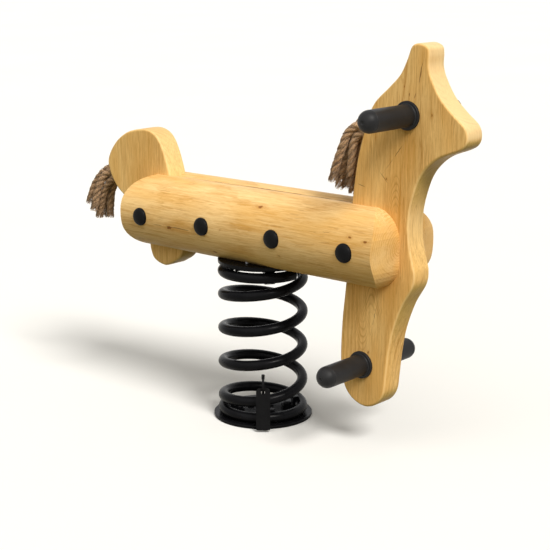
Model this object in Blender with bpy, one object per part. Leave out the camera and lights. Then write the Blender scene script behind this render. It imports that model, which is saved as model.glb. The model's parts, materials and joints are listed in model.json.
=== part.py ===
"""Spring rider: two round logs with a head board and a tail board, on one coil spring.

Metres, +Z up. The origin is the centre of the base plate's underside. +X is the way the rider
faces and +Y is the rider's left side.
"""

import math

import bmesh
import bpy
from mathutils import Matrix, Vector

GAP = 0.0003  # room between two pieces that touch
SPARE = 0.010  # how far a cutter runs past the piece that it cuts
EDGE = 0.0010  # broken edge on a turned or sawn metal piece

# Base plate
PLATE_RADIUS = 0.100
PLATE_THICK = 0.006
ANCHOR_HOLE_RADIUS = 0.0065
ANCHOR_HOLE_CIRCLE = 0.030
ANCHOR_HOLE_AZIMUTHS = (7.0, 97.0, 187.0, 277.0)

# Coil spring, wound to the right from the left side of the base ring
WIRE_RADIUS = 0.0105
FORM_RADIUS = 0.0835  # corner radius of the eight-sided form, so that its sides lie on the coil
FORM_POINTS_PER_TURN = 8
FORM_MIDDLE = FORM_RADIUS * math.cos(math.pi / FORM_POINTS_PER_TURN)
TURN_ZERO_AZIMUTH = 220.6
FIRST_TURN = -0.0308
LAST_TURN = 5.3442
RING_MIDDLE = 0.34  # turns from a wire end to the middle of the ring that lies flat
BASE_RING_HEIGHT = PLATE_THICK + GAP + WIRE_RADIUS
RISE_START = -0.25  # turn of the first rise
RISES_PER_TURN = 4
# Rise of the wire's centre above the base ring, a quarter turn apart
WIRE_RISES = (
    0.0000, 0.0000, 0.0000, 0.0017, 0.0137, 0.0252, 0.0362, 0.0598, 0.0825, 0.0963, 0.1108, 0.1310,
    0.1517, 0.1669, 0.1805, 0.2010, 0.2208, 0.2367, 0.2525, 0.2702, 0.2807, 0.2850, 0.2862, 0.2867,
)
TOP_RING_HEIGHT = BASE_RING_HEIGHT + WIRE_RISES[-1]

# Clamps that hold the two end rings of the spring from inside
CLAMP_WIDTH = 0.020
CLAMP_GRASP = 0.0036  # from the clamp's outer face out to the wire's centre
CLAMP_WALL = 0.0166  # from the hook's inner face out to the wire's centre
CLAMP_FOOT_LENGTH = 0.0205
CLAMP_OUT = FORM_MIDDLE - CLAMP_GRASP
CLAMP_HOOK_IN = FORM_MIDDLE - CLAMP_WALL
CLAMP_FOOT_IN = CLAMP_HOOK_IN - CLAMP_FOOT_LENGTH
CLAMP_FOOT_THICK = 0.010
CLAMP_LIP = 0.0035
CLAMP_CORNER = 0.0020
CLAMP_HOOK_CORNER = 0.0040
CLAMP_BOLT_CIRCLE = CLAMP_FOOT_IN + 0.010
CLAMP_BOLT_RADIUS = 0.005
CLAMP_HEAD_RADIUS = 0.0085
CLAMP_HEAD_HEIGHT = 0.0055
BASE_CLAMP_AZIMUTHS = (52.0, 232.0, 322.0)
TOP_CLAMP_AZIMUTHS = (142.0, 232.0, 322.0)

# Top plate
DISC_RADIUS = 0.090
DISC_ABOVE_WIRE = 0.0035  # air between the top ring and the plate
DISC_THICK = 0.0090
DISC_BOTTOM = TOP_RING_HEIGHT + WIRE_RADIUS + DISC_ABOVE_WIRE
DISC_TOP = DISC_BOTTOM + DISC_THICK
DISC_CHAMFER = 0.0025
DISC_RECESS_ROOM = 0.0005
SCREW_CIRCLE = 0.055
SCREW_AZIMUTHS = (20.0, 97.0, 200.0, 277.0)
SCREW_RADIUS = 0.004
SCREW_HEAD_RADIUS = 0.008
SCREW_HEAD_HEIGHT = 0.004
SCREW_IN_LOG = 0.0435
SCREW_POINT = 0.0060
SCREW_TOP = DISC_TOP + SCREW_IN_LOG

# Logs
LOG_RADIUS = 0.0743
LOG_OFFSET = 0.0257
LOG_REBATE = 0.0055  # depth of the flat seat that the top plate takes in the logs
LOG_HEIGHT = DISC_TOP - LOG_REBATE + LOG_RADIUS
LOG_FRONT = 0.352
LOG_REAR = -0.316
LOG_END_ROUND = 0.050
LOG_END_ROUND_TOP = 0.060  # the same at the upper corners
LOG_END_PLAN_RADIUS = 0.41
LOG_END_STATIONS = 7
LOG_ARC_STEPS = 40
LOG_CREST = LOG_OFFSET + LOG_RADIUS

# Boards
BOARD_THICK = 0.0498
BOARD_EDGE = 0.004
SLOT_HALF = BOARD_THICK / 2 + GAP
SLOT_SPARE = 0.050

# Outline points as (x, height over the logs' axis). A straight stretch has a point at each end.
HEAD_BACK_SLOT = ((0.2400, 0.0767), (0.2280, -0.0773))
HEAD_FRONT_CURVE = (
    (0.3842, 0.3746),
    (0.4010, 0.3690),
    (0.4048, 0.3566),
    (0.4046, 0.3346),
    (0.4115, 0.3135),
    (0.4310, 0.2817),
    (0.4560, 0.2572),
    (0.4811, 0.2366),
    (0.4880, 0.2198),
    (0.4848, 0.2038),
    (0.4710, 0.1926),
    (0.4337, 0.1779),
    (0.4091, 0.1605),
    (0.3899, 0.1362),
    (0.3768, 0.1022),
    (0.3690, 0.0647),
    (0.3700, 0.0197),
    (0.3795, -0.0213),
    (0.3838, -0.0404),
    (0.3800, -0.0665),
    (0.3573, -0.1058),
    (0.3388, -0.1553),
    (0.3295, -0.2025),
    (0.3246, -0.2456),
    (0.3195, -0.2818),
    (0.3036, -0.3038),
    (0.2780, -0.3140),
    (0.2520, -0.3075),
    (0.2312, -0.2893),
    (0.2205, -0.2595),
    (0.2172, -0.2173),
    (0.2200, -0.1533),
    (0.2245, -0.1103),
)
HEAD_BACK_CURVE = (
    (0.2450, 0.1187),
    (0.2530, 0.1657),
    (0.2640, 0.2057),
    (0.2740, 0.2377),
    (0.2893, 0.2663),
    (0.3187, 0.2937),
    (0.3430, 0.3182),
    (0.3574, 0.3460),
    (0.3672, 0.3690),
)
TAIL_FRONT_SLOT = ((-0.2000, -0.0783), (-0.2330, 0.0717))
TAIL_TOP_CURVE = (
    (-0.2378, 0.0890),
    (-0.2512, 0.1248),
    (-0.2671, 0.1501),
    (-0.2871, 0.1621),
    (-0.3126, 0.1646),
    (-0.3539, 0.1559),
    (-0.3863, 0.1371),
    (-0.4094, 0.1114),
    (-0.4194, 0.0875),
    (-0.4160, 0.0690),
    (-0.4060, 0.0490),
    (-0.3900, 0.0300),
    (-0.3655, 0.0120),
    (-0.3380, -0.0080),
    (-0.3142, -0.0352),
    (-0.2998, -0.0640),
    (-0.2945, -0.0900),
    (-0.2830, -0.1098),
    (-0.2520, -0.1185),
    (-0.2240, -0.1070),
    (-0.2070, -0.0945),
)

# Bolts across the logs, under round caps, as (x, height over the logs' axis)
BOLT_POSITIONS = ((-0.2463, -0.0021), (-0.0741, 0.0000), (0.1076, 0.0000), (0.2802, -0.0018))
BOLT_RADIUS = 0.006
BOLT_HEAD_RADIUS = 0.0095
BOLT_HEAD_HEIGHT = 0.0065
NUT_FLANGE_RADIUS = 0.0120
NUT_FLANGE_THICK = 0.0015
NUT_HEIGHT = 0.0110
BOLT_PAST_NUT = 0.0015
CAP_RADIUS = 0.0180
CAP_DOME = 0.0110
CAP_RIM = 0.0020
CAP_SUNK = 0.0025  # depth of the flat that the cap sits on
CAP_SEAT = LOG_CREST - CAP_SUNK
CAP_STEM_OUT = 0.0147
CAP_STEM_WALL = 0.0019
CAP_STEM_IN = CAP_STEM_OUT - CAP_STEM_WALL
CAP_STEM_DEPTH = 0.0060
CAP_WALL = 0.0025
CAP_ROOM = 0.0006
COUNTERBORE_RADIUS = CAP_STEM_OUT + GAP
COUNTERBORE_DEPTH = 0.0155
BOLT_SEAT = CAP_SEAT - COUNTERBORE_DEPTH
SPOT_RADIUS = CAP_RADIUS + CAP_ROOM

# Handle and footrest: bar through the board, one grip pushed on each end
BAR_RADIUS = 0.011
BAR_IN_GRIP = 0.080
GRIP_RADIUS = 0.0205
GRIP_FLANGE_RADIUS = 0.0263
GRIP_FLANGE_THICK = 0.0055
GRIP_FILLET = 0.0018
GRIP_END_ROOM = 0.0050
GRIP_BORE_DEPTH = BAR_IN_GRIP + GRIP_END_ROOM
# Places as (x, height over the logs' axis)
HANDLE_AT = (0.3626, 0.2471)
HANDLE_REACH_RIGHT = 0.134
HANDLE_REACH_LEFT = 0.107
FOOTREST_AT = (0.2685, -0.2316)
FOOTREST_REACH_RIGHT = 0.124
FOOTREST_REACH_LEFT = 0.111

# Ropes: bores as (x, height over the logs' axis) at the edge of the board, and their blind ends
ROPE_RADIUS = 0.0067
ROPE_STEP = 0.027
ROPE_BORE_RADIUS = 0.0194
ROPE_BORE_MOUTH = 0.060
MANE_BORE = (0.2685, 0.2172)
MANE_BORE_DEPTH = 0.0295
TAIL_BORE = (-0.4100, 0.0607)
TAIL_BORE_DEPTH = 0.0270
# Points that each rope's centre line goes through, as (x, y, z) from its bore
MANE_ROUTES = (
    (
        (0.0285, 0.0000, 0.0118), (-0.0005, 0.0000, 0.0120), (-0.0245, 0.0000, 0.0077),
        (-0.0427, 0.0000, -0.0058), (-0.0505, 0.0000, -0.0248), (-0.0553, 0.0000, -0.0458),
        (-0.0613, 0.0000, -0.0661), (-0.0679, 0.0000, -0.0866), (-0.0740, 0.0000, -0.1063),
        (-0.0787, 0.0000, -0.1240),
    ),
    (
        (0.0285, -0.0113, 0.0037), (-0.0085, -0.0113, 0.0037), (-0.0300, -0.0133, -0.0015),
        (-0.0465, -0.0160, -0.0165), (-0.0550, -0.0182, -0.0372), (-0.0642, -0.0192, -0.0604),
        (-0.0720, -0.0196, -0.0837), (-0.0783, -0.0196, -0.1086),
    ),
    (
        (0.0285, 0.0113, 0.0037), (-0.0060, 0.0113, 0.0039), (-0.0293, 0.0133, -0.0016),
        (-0.0457, 0.0160, -0.0168), (-0.0568, 0.0183, -0.0395), (-0.0630, 0.0195, -0.0610),
        (-0.0690, 0.0198, -0.0835), (-0.0758, 0.0198, -0.1062), (-0.0812, 0.0198, -0.1260),
    ),
    (
        (0.0285, -0.0070, -0.0096), (-0.0065, -0.0070, -0.0094), (-0.0230, -0.0080, -0.0139),
        (-0.0340, -0.0094, -0.0257), (-0.0384, -0.0104, -0.0449), (-0.0401, -0.0108, -0.0674),
        (-0.0434, -0.0108, -0.0911), (-0.0477, -0.0108, -0.1142),
    ),
    (
        (0.0285, 0.0070, -0.0096), (-0.0073, 0.0070, -0.0094), (-0.0232, 0.0080, -0.0142),
        (-0.0340, 0.0094, -0.0263), (-0.0394, 0.0104, -0.0445), (-0.0429, 0.0106, -0.0683),
        (-0.0484, 0.0106, -0.0982), (-0.0544, 0.0106, -0.1321),
    ),
)
TAIL_ROUTES = (
    (
        (0.0260, 0.0000, 0.0118), (-0.0020, 0.0000, 0.0118), (-0.0270, -0.0005, 0.0072),
        (-0.0490, -0.0020, -0.0055), (-0.0654, -0.0035, -0.0221), (-0.0775, -0.0050, -0.0408),
        (-0.0858, -0.0065, -0.0606), (-0.0917, -0.0070, -0.0792),
    ),
    (
        (0.0260, -0.0113, 0.0037), (-0.0010, -0.0113, 0.0037), (-0.0220, -0.0130, -0.0020),
        (-0.0354, -0.0155, -0.0150), (-0.0448, -0.0180, -0.0316), (-0.0517, -0.0198, -0.0503),
        (-0.0579, -0.0205, -0.0705), (-0.0636, -0.0205, -0.0894),
    ),
    (
        (0.0260, 0.0113, 0.0037), (-0.0010, 0.0113, 0.0037), (-0.0240, 0.0130, -0.0025),
        (-0.0420, 0.0150, -0.0175), (-0.0543, 0.0165, -0.0386), (-0.0609, 0.0170, -0.0604),
        (-0.0654, 0.0170, -0.0839), (-0.0682, 0.0165, -0.1101),
    ),
    (
        (0.0260, -0.0070, -0.0096), (0.0020, -0.0070, -0.0096), (-0.0150, -0.0070, -0.0152),
        (-0.0323, -0.0066, -0.0308), (-0.0438, -0.0060, -0.0481), (-0.0526, -0.0055, -0.0679),
        (-0.0593, -0.0052, -0.0889), (-0.0641, -0.0050, -0.1075),
    ),
    (
        (0.0260, 0.0070, -0.0096), (0.0020, 0.0070, -0.0096), (-0.0140, 0.0079, -0.0150),
        (-0.0250, 0.0090, -0.0268), (-0.0368, 0.0100, -0.0481), (-0.0413, 0.0102, -0.0688),
        (-0.0437, 0.0102, -0.0892), (-0.0448, 0.0102, -0.1072),
    ),
)

# Tag and its cable tie, both in the upright plane that the tag faces. Places are (out, up) from
# the form's middle line and the wire's height, where the wire's second turn crosses that plane.
TAG_AZIMUTH = -48.9
TAG_TURN = 1.25
TAG_TILT = 13.0
TAG_HOLE_AT = (0.0234, 0.0244)
TAG_WIDTH = 0.028
TAG_THICK = 0.0025
TAG_ABOVE_HOLE = 0.008
TAG_BELOW_HOLE = 0.0750
TAG_CORNER = 0.008
TAG_FOOT_CORNER = 0.0024
TIE_WIDTH = 0.0048
TIE_THICK = 0.0013
TAG_HOLE_ROOM = 0.0016
TAG_HOLE_RADIUS = TIE_WIDTH / 2 + TAG_HOLE_ROOM
TIE_POINTS = (
    (0.0219, 0.0529), (0.0274, 0.0454), (0.0294, 0.0374), (0.0279, 0.0309),
    (0.0234, 0.0249), (0.0184, 0.0184), (0.0159, 0.0109), (0.0154, 0.0014),
    (0.0134, -0.0066), (0.0094, -0.0106), (0.0029, -0.0120), (-0.0036, -0.0109),
    (-0.0091, -0.0061), (-0.0104, 0.0014), (-0.0086, 0.0169), (-0.0011, 0.0369),
    (0.0079, 0.0504), (0.0159, 0.0544),
)
TIE_HEAD_SIZE = (0.0089, 0.0070, 0.0085)
TIE_HEAD_AT = (0.0189, 0.0544)

STEEL = (0.045, 0.045, 0.047)
ZINC = (0.55, 0.56, 0.57)
PLASTIC = (0.012, 0.012, 0.013)
WOOD = (0.60, 0.40, 0.20)
ROPE = (0.22, 0.13, 0.075)


def clear_scene():
    """Take every object out of the scene."""
    for obj in list(bpy.data.objects):
        bpy.data.objects.remove(obj, do_unlink=True)


def smooth_between(points, steps, closed=False):
    """Return points on the smooth curve through the given points, `steps` to each stretch."""
    rows = [Vector(p) for p in points]
    count = len(rows)
    result = []
    for i in range(count if closed else count - 1):
        p1 = rows[i]
        p2 = rows[(i + 1) % count]
        p0 = rows[i - 1] if closed or i > 0 else p1 * 2 - p2
        p3 = rows[(i + 2) % count] if closed or i + 2 < count else p2 * 2 - p1
        for k in range(steps):
            t = k / steps
            term = p1 * 2 + (p2 - p0) * t
            term += (p0 * 2 - p1 * 5 + p2 * 4 - p3) * (t * t)
            term += (p1 * 3 - p0 - p2 * 3 + p3) * (t * t * t)
            result.append(term / 2)
    if not closed:
        result.append(rows[-1])
    return result


def evenly(points, step):
    """Return points a near-equal distance apart along a fine line, both ends kept."""
    lengths = [0.0]
    for a, b in zip(points, points[1:]):
        lengths.append(lengths[-1] + (b - a).length)
    spans = max(2, round(lengths[-1] / step))
    result = []
    index = 0
    for k in range(spans + 1):
        target = lengths[-1] * k / spans
        while index < len(points) - 2 and lengths[index + 1] < target:
            index += 1
        part = (target - lengths[index]) / (lengths[index + 1] - lengths[index])
        result.append(points[index].lerp(points[index + 1], min(1.0, part)))
    return result


def material(name, colour, roughness, metallic=0.0):
    """Return a new Principled material."""
    mat = bpy.data.materials.new(name)
    mat.use_nodes = True
    shader = mat.node_tree.nodes["Principled BSDF"]
    shader.inputs["Base Color"].default_value = (*colour, 1.0)
    shader.inputs["Roughness"].default_value = roughness
    shader.inputs["Metallic"].default_value = metallic
    return mat


def new_object(name, mesh, colour, roughness, metallic=0.0):
    """Put a mesh in the scene under a name with a material of its own."""
    obj = bpy.data.objects.new(name, mesh)
    bpy.context.collection.objects.link(obj)
    mesh.materials.clear()
    mesh.materials.append(material(name + "_material", colour, roughness, metallic))
    return obj


def mesh_from(name, rings, cap_start=True, cap_end=True, loop=False):
    """Join rings of points, all with as many points, into one closed mesh."""
    bm = bmesh.new()
    rows = [[bm.verts.new(p) for p in ring] for ring in rings]
    count = len(rows[0])
    pairs = list(zip(rows, rows[1:]))
    if loop:
        pairs.append((rows[-1], rows[0]))
    for a, b in pairs:
        for i in range(count):
            j = (i + 1) % count
            bm.faces.new((a[i], a[j], b[j], b[i]))
    if cap_start and not loop:
        bm.faces.new(list(reversed(rows[0])))
    if cap_end and not loop:
        bm.faces.new(rows[-1])
    return finish_mesh(name, bm)


def finish_mesh(name, bm):
    """Turn faces outward and return the mesh."""
    bmesh.ops.recalc_face_normals(bm, faces=bm.faces)
    if bm.calc_volume(signed=True) < 0:
        bmesh.ops.reverse_faces(bm, faces=bm.faces)
    mesh = bpy.data.meshes.new(name)
    bm.to_mesh(mesh)
    bm.free()
    return mesh


def turned(name, profile, place, segments=24):
    """Turn a profile of (radius, along) round an axis that `place` puts in the world."""
    bm = bmesh.new()
    rings = []
    for radius, along in profile:
        if radius < 1e-7:
            rings.append([bm.verts.new(place @ Vector((0.0, 0.0, along)))])
            continue
        ring = []
        for k in range(segments):
            angle = 2 * math.pi * k / segments
            point = Vector((radius * math.cos(angle), radius * math.sin(angle), along))
            ring.append(bm.verts.new(place @ point))
        rings.append(ring)
    closed = profile[0][0] > 1e-7
    pairs = list(zip(rings, rings[1:]))
    if closed:
        pairs.append((rings[-1], rings[0]))
    for a, b in pairs:
        for k in range(segments):
            j = (k + 1) % segments
            if len(a) == 1:
                bm.faces.new((a[0], b[j], b[k]))
            elif len(b) == 1:
                bm.faces.new((a[k], a[j], b[0]))
            else:
                bm.faces.new((a[k], a[j], b[j], b[k]))
    return finish_mesh(name, bm)


def rod(radius, start, end, segments=24):
    """Return a plain cylinder mesh between two points."""
    start = Vector(start)
    axis = Vector(end) - start
    place = Matrix.Translation(start) @ axis.to_track_quat("Z", "Y").to_matrix().to_4x4()
    length = axis.length
    return turned("rod", [(0.0, 0.0), (radius, 0.0), (radius, length), (0.0, length)], place, segments)


def prism(name, outline, low, high, place=None):
    """Return the mesh of a flat outline of (a, b) pushed from `low` to `high`."""
    place = place or Matrix.Identity(4)
    rings = [[place @ Vector((a, b, c)) for a, b in outline] for c in (low, high)]
    return mesh_from(name, rings)


def boolean(obj, meshes, operation="DIFFERENCE"):
    """Cut meshes out of an object, or join or keep them, and store the result in it."""
    for mesh in meshes:
        cutter = bpy.data.objects.new("cutter", mesh)
        bpy.context.collection.objects.link(cutter)
        cutter.hide_render = True
        cutter.display_type = "WIRE"
        step = obj.modifiers.new("cut", "BOOLEAN")
        step.solver = "EXACT"
        step.operation = operation
        step.object = cutter
        graph = bpy.context.evaluated_depsgraph_get()
        done = bpy.data.meshes.new_from_object(obj.evaluated_get(graph))
        obj.modifiers.clear()
        obj.data = done
        bpy.data.objects.remove(cutter, do_unlink=True)


def settle(obj, sharp_degrees=35.0):
    """Cut faces into triangles, shade the round ones smooth and keep the sharp edges."""
    bm = bmesh.new()
    bm.from_mesh(obj.data)
    bmesh.ops.triangulate(bm, faces=bm.faces)
    bm.to_mesh(obj.data)
    bm.free()
    obj.data.shade_smooth()
    obj.data.set_sharp_from_angle(angle=math.radians(sharp_degrees))


def polar(radius, azimuth, height):
    """Return the world point at a radius, an azimuth in degrees and a height."""
    angle = math.radians(azimuth)
    return Vector((radius * math.cos(angle), radius * math.sin(angle), height))


def facing(azimuth):
    """Return the frame whose X points outward at an azimuth and whose Z points up."""
    return Matrix.Rotation(math.radians(azimuth), 4, "Z")


def wire_height(turn):
    """Return the height of the wire's centre at a turn."""
    place = (turn - RISE_START) * RISES_PER_TURN
    index = min(len(WIRE_RISES) - 3, max(1, math.floor(place)))
    p0, p1, p2, p3 = WIRE_RISES[index - 1:index + 3]
    t = min(2.0, place - index)
    value = 2 * p1 + (p2 - p0) * t + (2 * p0 - 5 * p1 + 4 * p2 - p3) * t * t
    value += (3 * p1 - p0 - 3 * p2 + p3) * t * t * t
    return BASE_RING_HEIGHT + value / 2


def over_axis(points):
    """Return points of (x, height over the logs' axis) with their heights in the world."""
    return [(x, LOG_HEIGHT + up) for x, up in points]


def by_the_coil(points):
    """Return points of (out, up) beside the wire as (radius, height) in the tag's plane."""
    height = wire_height(turn_at(TAG_AZIMUTH, TAG_TURN))
    return [(FORM_MIDDLE + out, height + up) for out, up in points]


def upright_rod(radius, circle, azimuth, low, high, segments=20):
    """Return an upright cutter on a circle, running past both heights."""
    start = polar(circle, azimuth, low - SPARE)
    return rod(radius, start, polar(circle, azimuth, high + SPARE), segments)


def make_base_plate():
    """Round plate that rests on the ground."""
    profile = [
        (0.0, 0.0),
        (PLATE_RADIUS - EDGE, 0.0),
        (PLATE_RADIUS, EDGE),
        (PLATE_RADIUS, PLATE_THICK - EDGE),
        (PLATE_RADIUS - EDGE, PLATE_THICK),
        (0.0, PLATE_THICK),
    ]
    mesh = turned("base_plate", profile, Matrix.Identity(4), 64)
    obj = new_object("base_plate", mesh, STEEL, 0.45)
    holes = []
    for azimuth in ANCHOR_HOLE_AZIMUTHS:
        holes.append(upright_rod(ANCHOR_HOLE_RADIUS, ANCHOR_HOLE_CIRCLE, azimuth, 0.0, PLATE_THICK))
    for azimuth in BASE_CLAMP_AZIMUTHS:
        radius = CLAMP_BOLT_RADIUS + GAP
        holes.append(upright_rod(radius, CLAMP_BOLT_CIRCLE, azimuth, 0.0, PLATE_THICK))
    boolean(obj, holes)
    settle(obj)


def make_spring():
    """Coil spring as one unbroken tube with straight ends."""
    steps = round((LAST_TURN - FIRST_TURN) * FORM_POINTS_PER_TURN)
    points = []
    for k in range(steps + 1):
        turn = FIRST_TURN + k / FORM_POINTS_PER_TURN
        points.append(polar(FORM_RADIUS, TURN_ZERO_AZIMUTH + 360 * turn, wire_height(turn)))
    end = WIRE_RADIUS * 2
    points.insert(0, points[0] + end * (points[0] - points[1]).normalized())
    points.append(points[-1] + end * (points[-1] - points[-2]).normalized())
    curve = bpy.data.curves.new("coil_spring", "CURVE")
    curve.dimensions = "3D"
    curve.bevel_depth = WIRE_RADIUS
    curve.bevel_resolution = 1
    curve.use_fill_caps = True
    spline = curve.splines.new("POLY")
    spline.points.add(len(points) - 1)
    for slot, point in zip(spline.points, points):
        slot.co = (*point, 1.0)
    obj = bpy.data.objects.new("coil_spring", curve)
    bpy.context.collection.objects.link(obj)
    curve.materials.append(material("coil_spring_material", STEEL, 0.4))
    fine = []
    for a, b in zip(points, points[1:]):
        fine.extend(a.lerp(b, k / 12) for k in range(12))
    least = min(
        (p - q).length
        for i, p in enumerate(fine)
        for q in fine[i + 48:]
    )
    print(f"spring: least gap to itself {(least - 2 * WIRE_RADIUS) * 1000:.2f} mm")


def make_clamp(name, azimuth, turn, plate_face, upward):
    """Clamp with a bolt foot and a hook over the inside of the end ring, and its bolt."""
    wire_up = abs(wire_height(turn) - plate_face)
    top = wire_up + WIRE_RADIUS + GAP + CLAMP_LIP
    outline = [
        (CLAMP_FOOT_IN, GAP),
        (CLAMP_OUT, GAP),
        (CLAMP_OUT, top - CLAMP_CORNER),
        (CLAMP_OUT - CLAMP_CORNER, top),
        (CLAMP_HOOK_IN + CLAMP_HOOK_CORNER, top),
        (CLAMP_HOOK_IN + 0.3 * CLAMP_HOOK_CORNER, top - 0.3 * CLAMP_HOOK_CORNER),
        (CLAMP_HOOK_IN, top - CLAMP_HOOK_CORNER),
        (CLAMP_HOOK_IN, CLAMP_FOOT_THICK),
        (CLAMP_FOOT_IN + EDGE, CLAMP_FOOT_THICK),
        (CLAMP_FOOT_IN, CLAMP_FOOT_THICK - EDGE),
    ]
    flip = Matrix.Identity(4) if upward else Matrix.Rotation(math.pi, 4, "X")
    lift = Matrix.Translation((0, 0, plate_face)) @ facing(azimuth) @ flip
    place = lift @ Matrix.Rotation(math.pi / 2, 4, "X")
    mesh = prism(name, outline, -CLAMP_WIDTH / 2, CLAMP_WIDTH / 2, place)
    obj = new_object(name, mesh, ZINC, 0.4, 0.9)
    part = 0.5 / FORM_POINTS_PER_TURN
    slope = (wire_height(turn + part) - wire_height(turn - part)) / 2
    side = 1.0 if upward else -1.0
    half = side * FORM_RADIUS * math.sin(math.pi / FORM_POINTS_PER_TURN)
    start = lift @ Vector((FORM_MIDDLE, -half, wire_up - slope * side))
    stop = lift @ Vector((FORM_MIDDLE, half, wire_up + slope * side))
    reach = (stop - start).normalized() * SPARE
    hole_start = lift @ Vector((CLAMP_BOLT_CIRCLE, 0, -SPARE))
    hole_stop = lift @ Vector((CLAMP_BOLT_CIRCLE, 0, CLAMP_FOOT_THICK + SPARE))
    cuts = [
        rod(WIRE_RADIUS + 2 * GAP, start - reach, stop + reach, 24),
        rod(CLAMP_BOLT_RADIUS + GAP, hole_start, hole_stop, 20),
    ]
    boolean(obj, cuts)
    settle(obj)
    plate = PLATE_THICK if upward else DISC_THICK
    head = CLAMP_FOOT_THICK + GAP
    profile = [
        (0.0, -plate + EDGE),
        (CLAMP_BOLT_RADIUS - EDGE, -plate + EDGE),
        (CLAMP_BOLT_RADIUS, -plate + 2 * EDGE),
        (CLAMP_BOLT_RADIUS, head),
        (CLAMP_HEAD_RADIUS, head),
        (CLAMP_HEAD_RADIUS, head + CLAMP_HEAD_HEIGHT * 0.35),
        (CLAMP_HEAD_RADIUS * 0.78, head + CLAMP_HEAD_HEIGHT * 0.82),
        (CLAMP_HEAD_RADIUS * 0.4, head + CLAMP_HEAD_HEIGHT),
        (0.0, head + CLAMP_HEAD_HEIGHT),
    ]
    bolt_place = lift @ Matrix.Translation((CLAMP_BOLT_CIRCLE, 0, 0))
    bolt_name = name.replace("clamp", "clamp_bolt")
    bolt = new_object(bolt_name, turned(bolt_name, profile, bolt_place, 20), ZINC, 0.35, 0.9)
    settle(bolt)


def turn_at(azimuth, near_turn):
    """Return the turn at which the wire passes an azimuth, closest to a given turn."""
    part = (azimuth - TURN_ZERO_AZIMUTH) / 360
    return part + round(near_turn - part)


def make_disc():
    """Round plate between the spring and the logs, with its screws."""
    profile = [
        (0.0, DISC_BOTTOM),
        (DISC_RADIUS - DISC_CHAMFER, DISC_BOTTOM),
        (DISC_RADIUS, DISC_BOTTOM + DISC_CHAMFER),
        (DISC_RADIUS, DISC_TOP - EDGE / 2),
        (DISC_RADIUS - EDGE / 2, DISC_TOP),
        (0.0, DISC_TOP),
    ]
    mesh = turned("top_plate", profile, Matrix.Identity(4), 64)
    obj = new_object("top_plate", mesh, STEEL, 0.45)
    holes = []
    for azimuth in TOP_CLAMP_AZIMUTHS:
        radius = CLAMP_BOLT_RADIUS + GAP
        holes.append(upright_rod(radius, CLAMP_BOLT_CIRCLE, azimuth, DISC_BOTTOM, DISC_TOP))
    for azimuth in SCREW_AZIMUTHS:
        radius = SCREW_RADIUS + GAP
        holes.append(upright_rod(radius, SCREW_CIRCLE, azimuth, DISC_BOTTOM, DISC_TOP, 16))
    boolean(obj, holes)
    settle(obj)
    for index, azimuth in enumerate(SCREW_AZIMUTHS, 1):
        base = DISC_BOTTOM - GAP
        profile = [
            (0.0, base - SCREW_HEAD_HEIGHT),
            (SCREW_HEAD_RADIUS * 0.6, base - SCREW_HEAD_HEIGHT),
            (SCREW_HEAD_RADIUS, base - SCREW_HEAD_HEIGHT * 0.4),
            (SCREW_HEAD_RADIUS, base),
            (SCREW_RADIUS, base),
            (SCREW_RADIUS, SCREW_TOP - SCREW_POINT),
            (0.0, SCREW_TOP),
        ]
        name = f"seat_screw_{index}"
        place = Matrix.Translation(polar(SCREW_CIRCLE, azimuth, 0))
        screw = new_object(name, turned(name, profile, place, 16), ZINC, 0.4, 0.9)
        settle(screw)


def log_end_mesh(side):
    """Side profile with rounded ends, swept across the log and curved in plan."""
    low = LOG_HEIGHT - LOG_RADIUS - EDGE
    high = LOG_HEIGHT + LOG_RADIUS + EDGE
    corners = (
        (LOG_FRONT, high, LOG_END_ROUND_TOP, 0.0),
        (LOG_REAR, high, LOG_END_ROUND_TOP, 90.0),
        (LOG_REAR, low, LOG_END_ROUND, 180.0),
        (LOG_FRONT, low, LOG_END_ROUND, 270.0),
    )
    rings = []
    for k in range(LOG_END_STATIONS + 1):
        y = side * (-SPARE + (LOG_CREST + 2 * SPARE) * k / LOG_END_STATIONS)
        set_back = y * y / (2 * LOG_END_PLAN_RADIUS)
        ring = []
        for x, z, round_by, first in corners:
            toward = 1 if x > 0 else -1
            upward = 1 if z > LOG_HEIGHT else -1
            centre_x = x - toward * (round_by + set_back)
            centre_z = z - upward * round_by
            for step in range(9):
                angle = math.radians(first + step * 90 / 8)
                ring.append(Vector((
                    centre_x + round_by * math.cos(angle),
                    y,
                    centre_z + round_by * math.sin(angle),
                )))
        rings.append(ring)
    return mesh_from("log_ends", rings)


def slot_mesh(line, toward):
    """Room for a board between the logs, open at the log's end, with one straight wall."""
    (x1, z1), (x2, z2) = over_axis(line)
    slope = (x2 - x1) / (z2 - z1)
    low = min(z1, z2) - SLOT_SPARE
    high = max(z1, z2) + SLOT_SPARE
    shift = -toward * GAP * math.hypot(1.0, slope)
    x_low = x1 + slope * (low - z1) + shift
    x_high = x1 + slope * (high - z1) + shift
    far = (LOG_FRONT if toward > 0 else LOG_REAR) + toward * SLOT_SPARE
    outline = [(x_low, low), (x_high, high), (far, high), (far, low)]
    place = Matrix.Rotation(math.pi / 2, 4, "X")
    return prism("slot", outline, -SLOT_HALF, SLOT_HALF, place)


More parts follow.
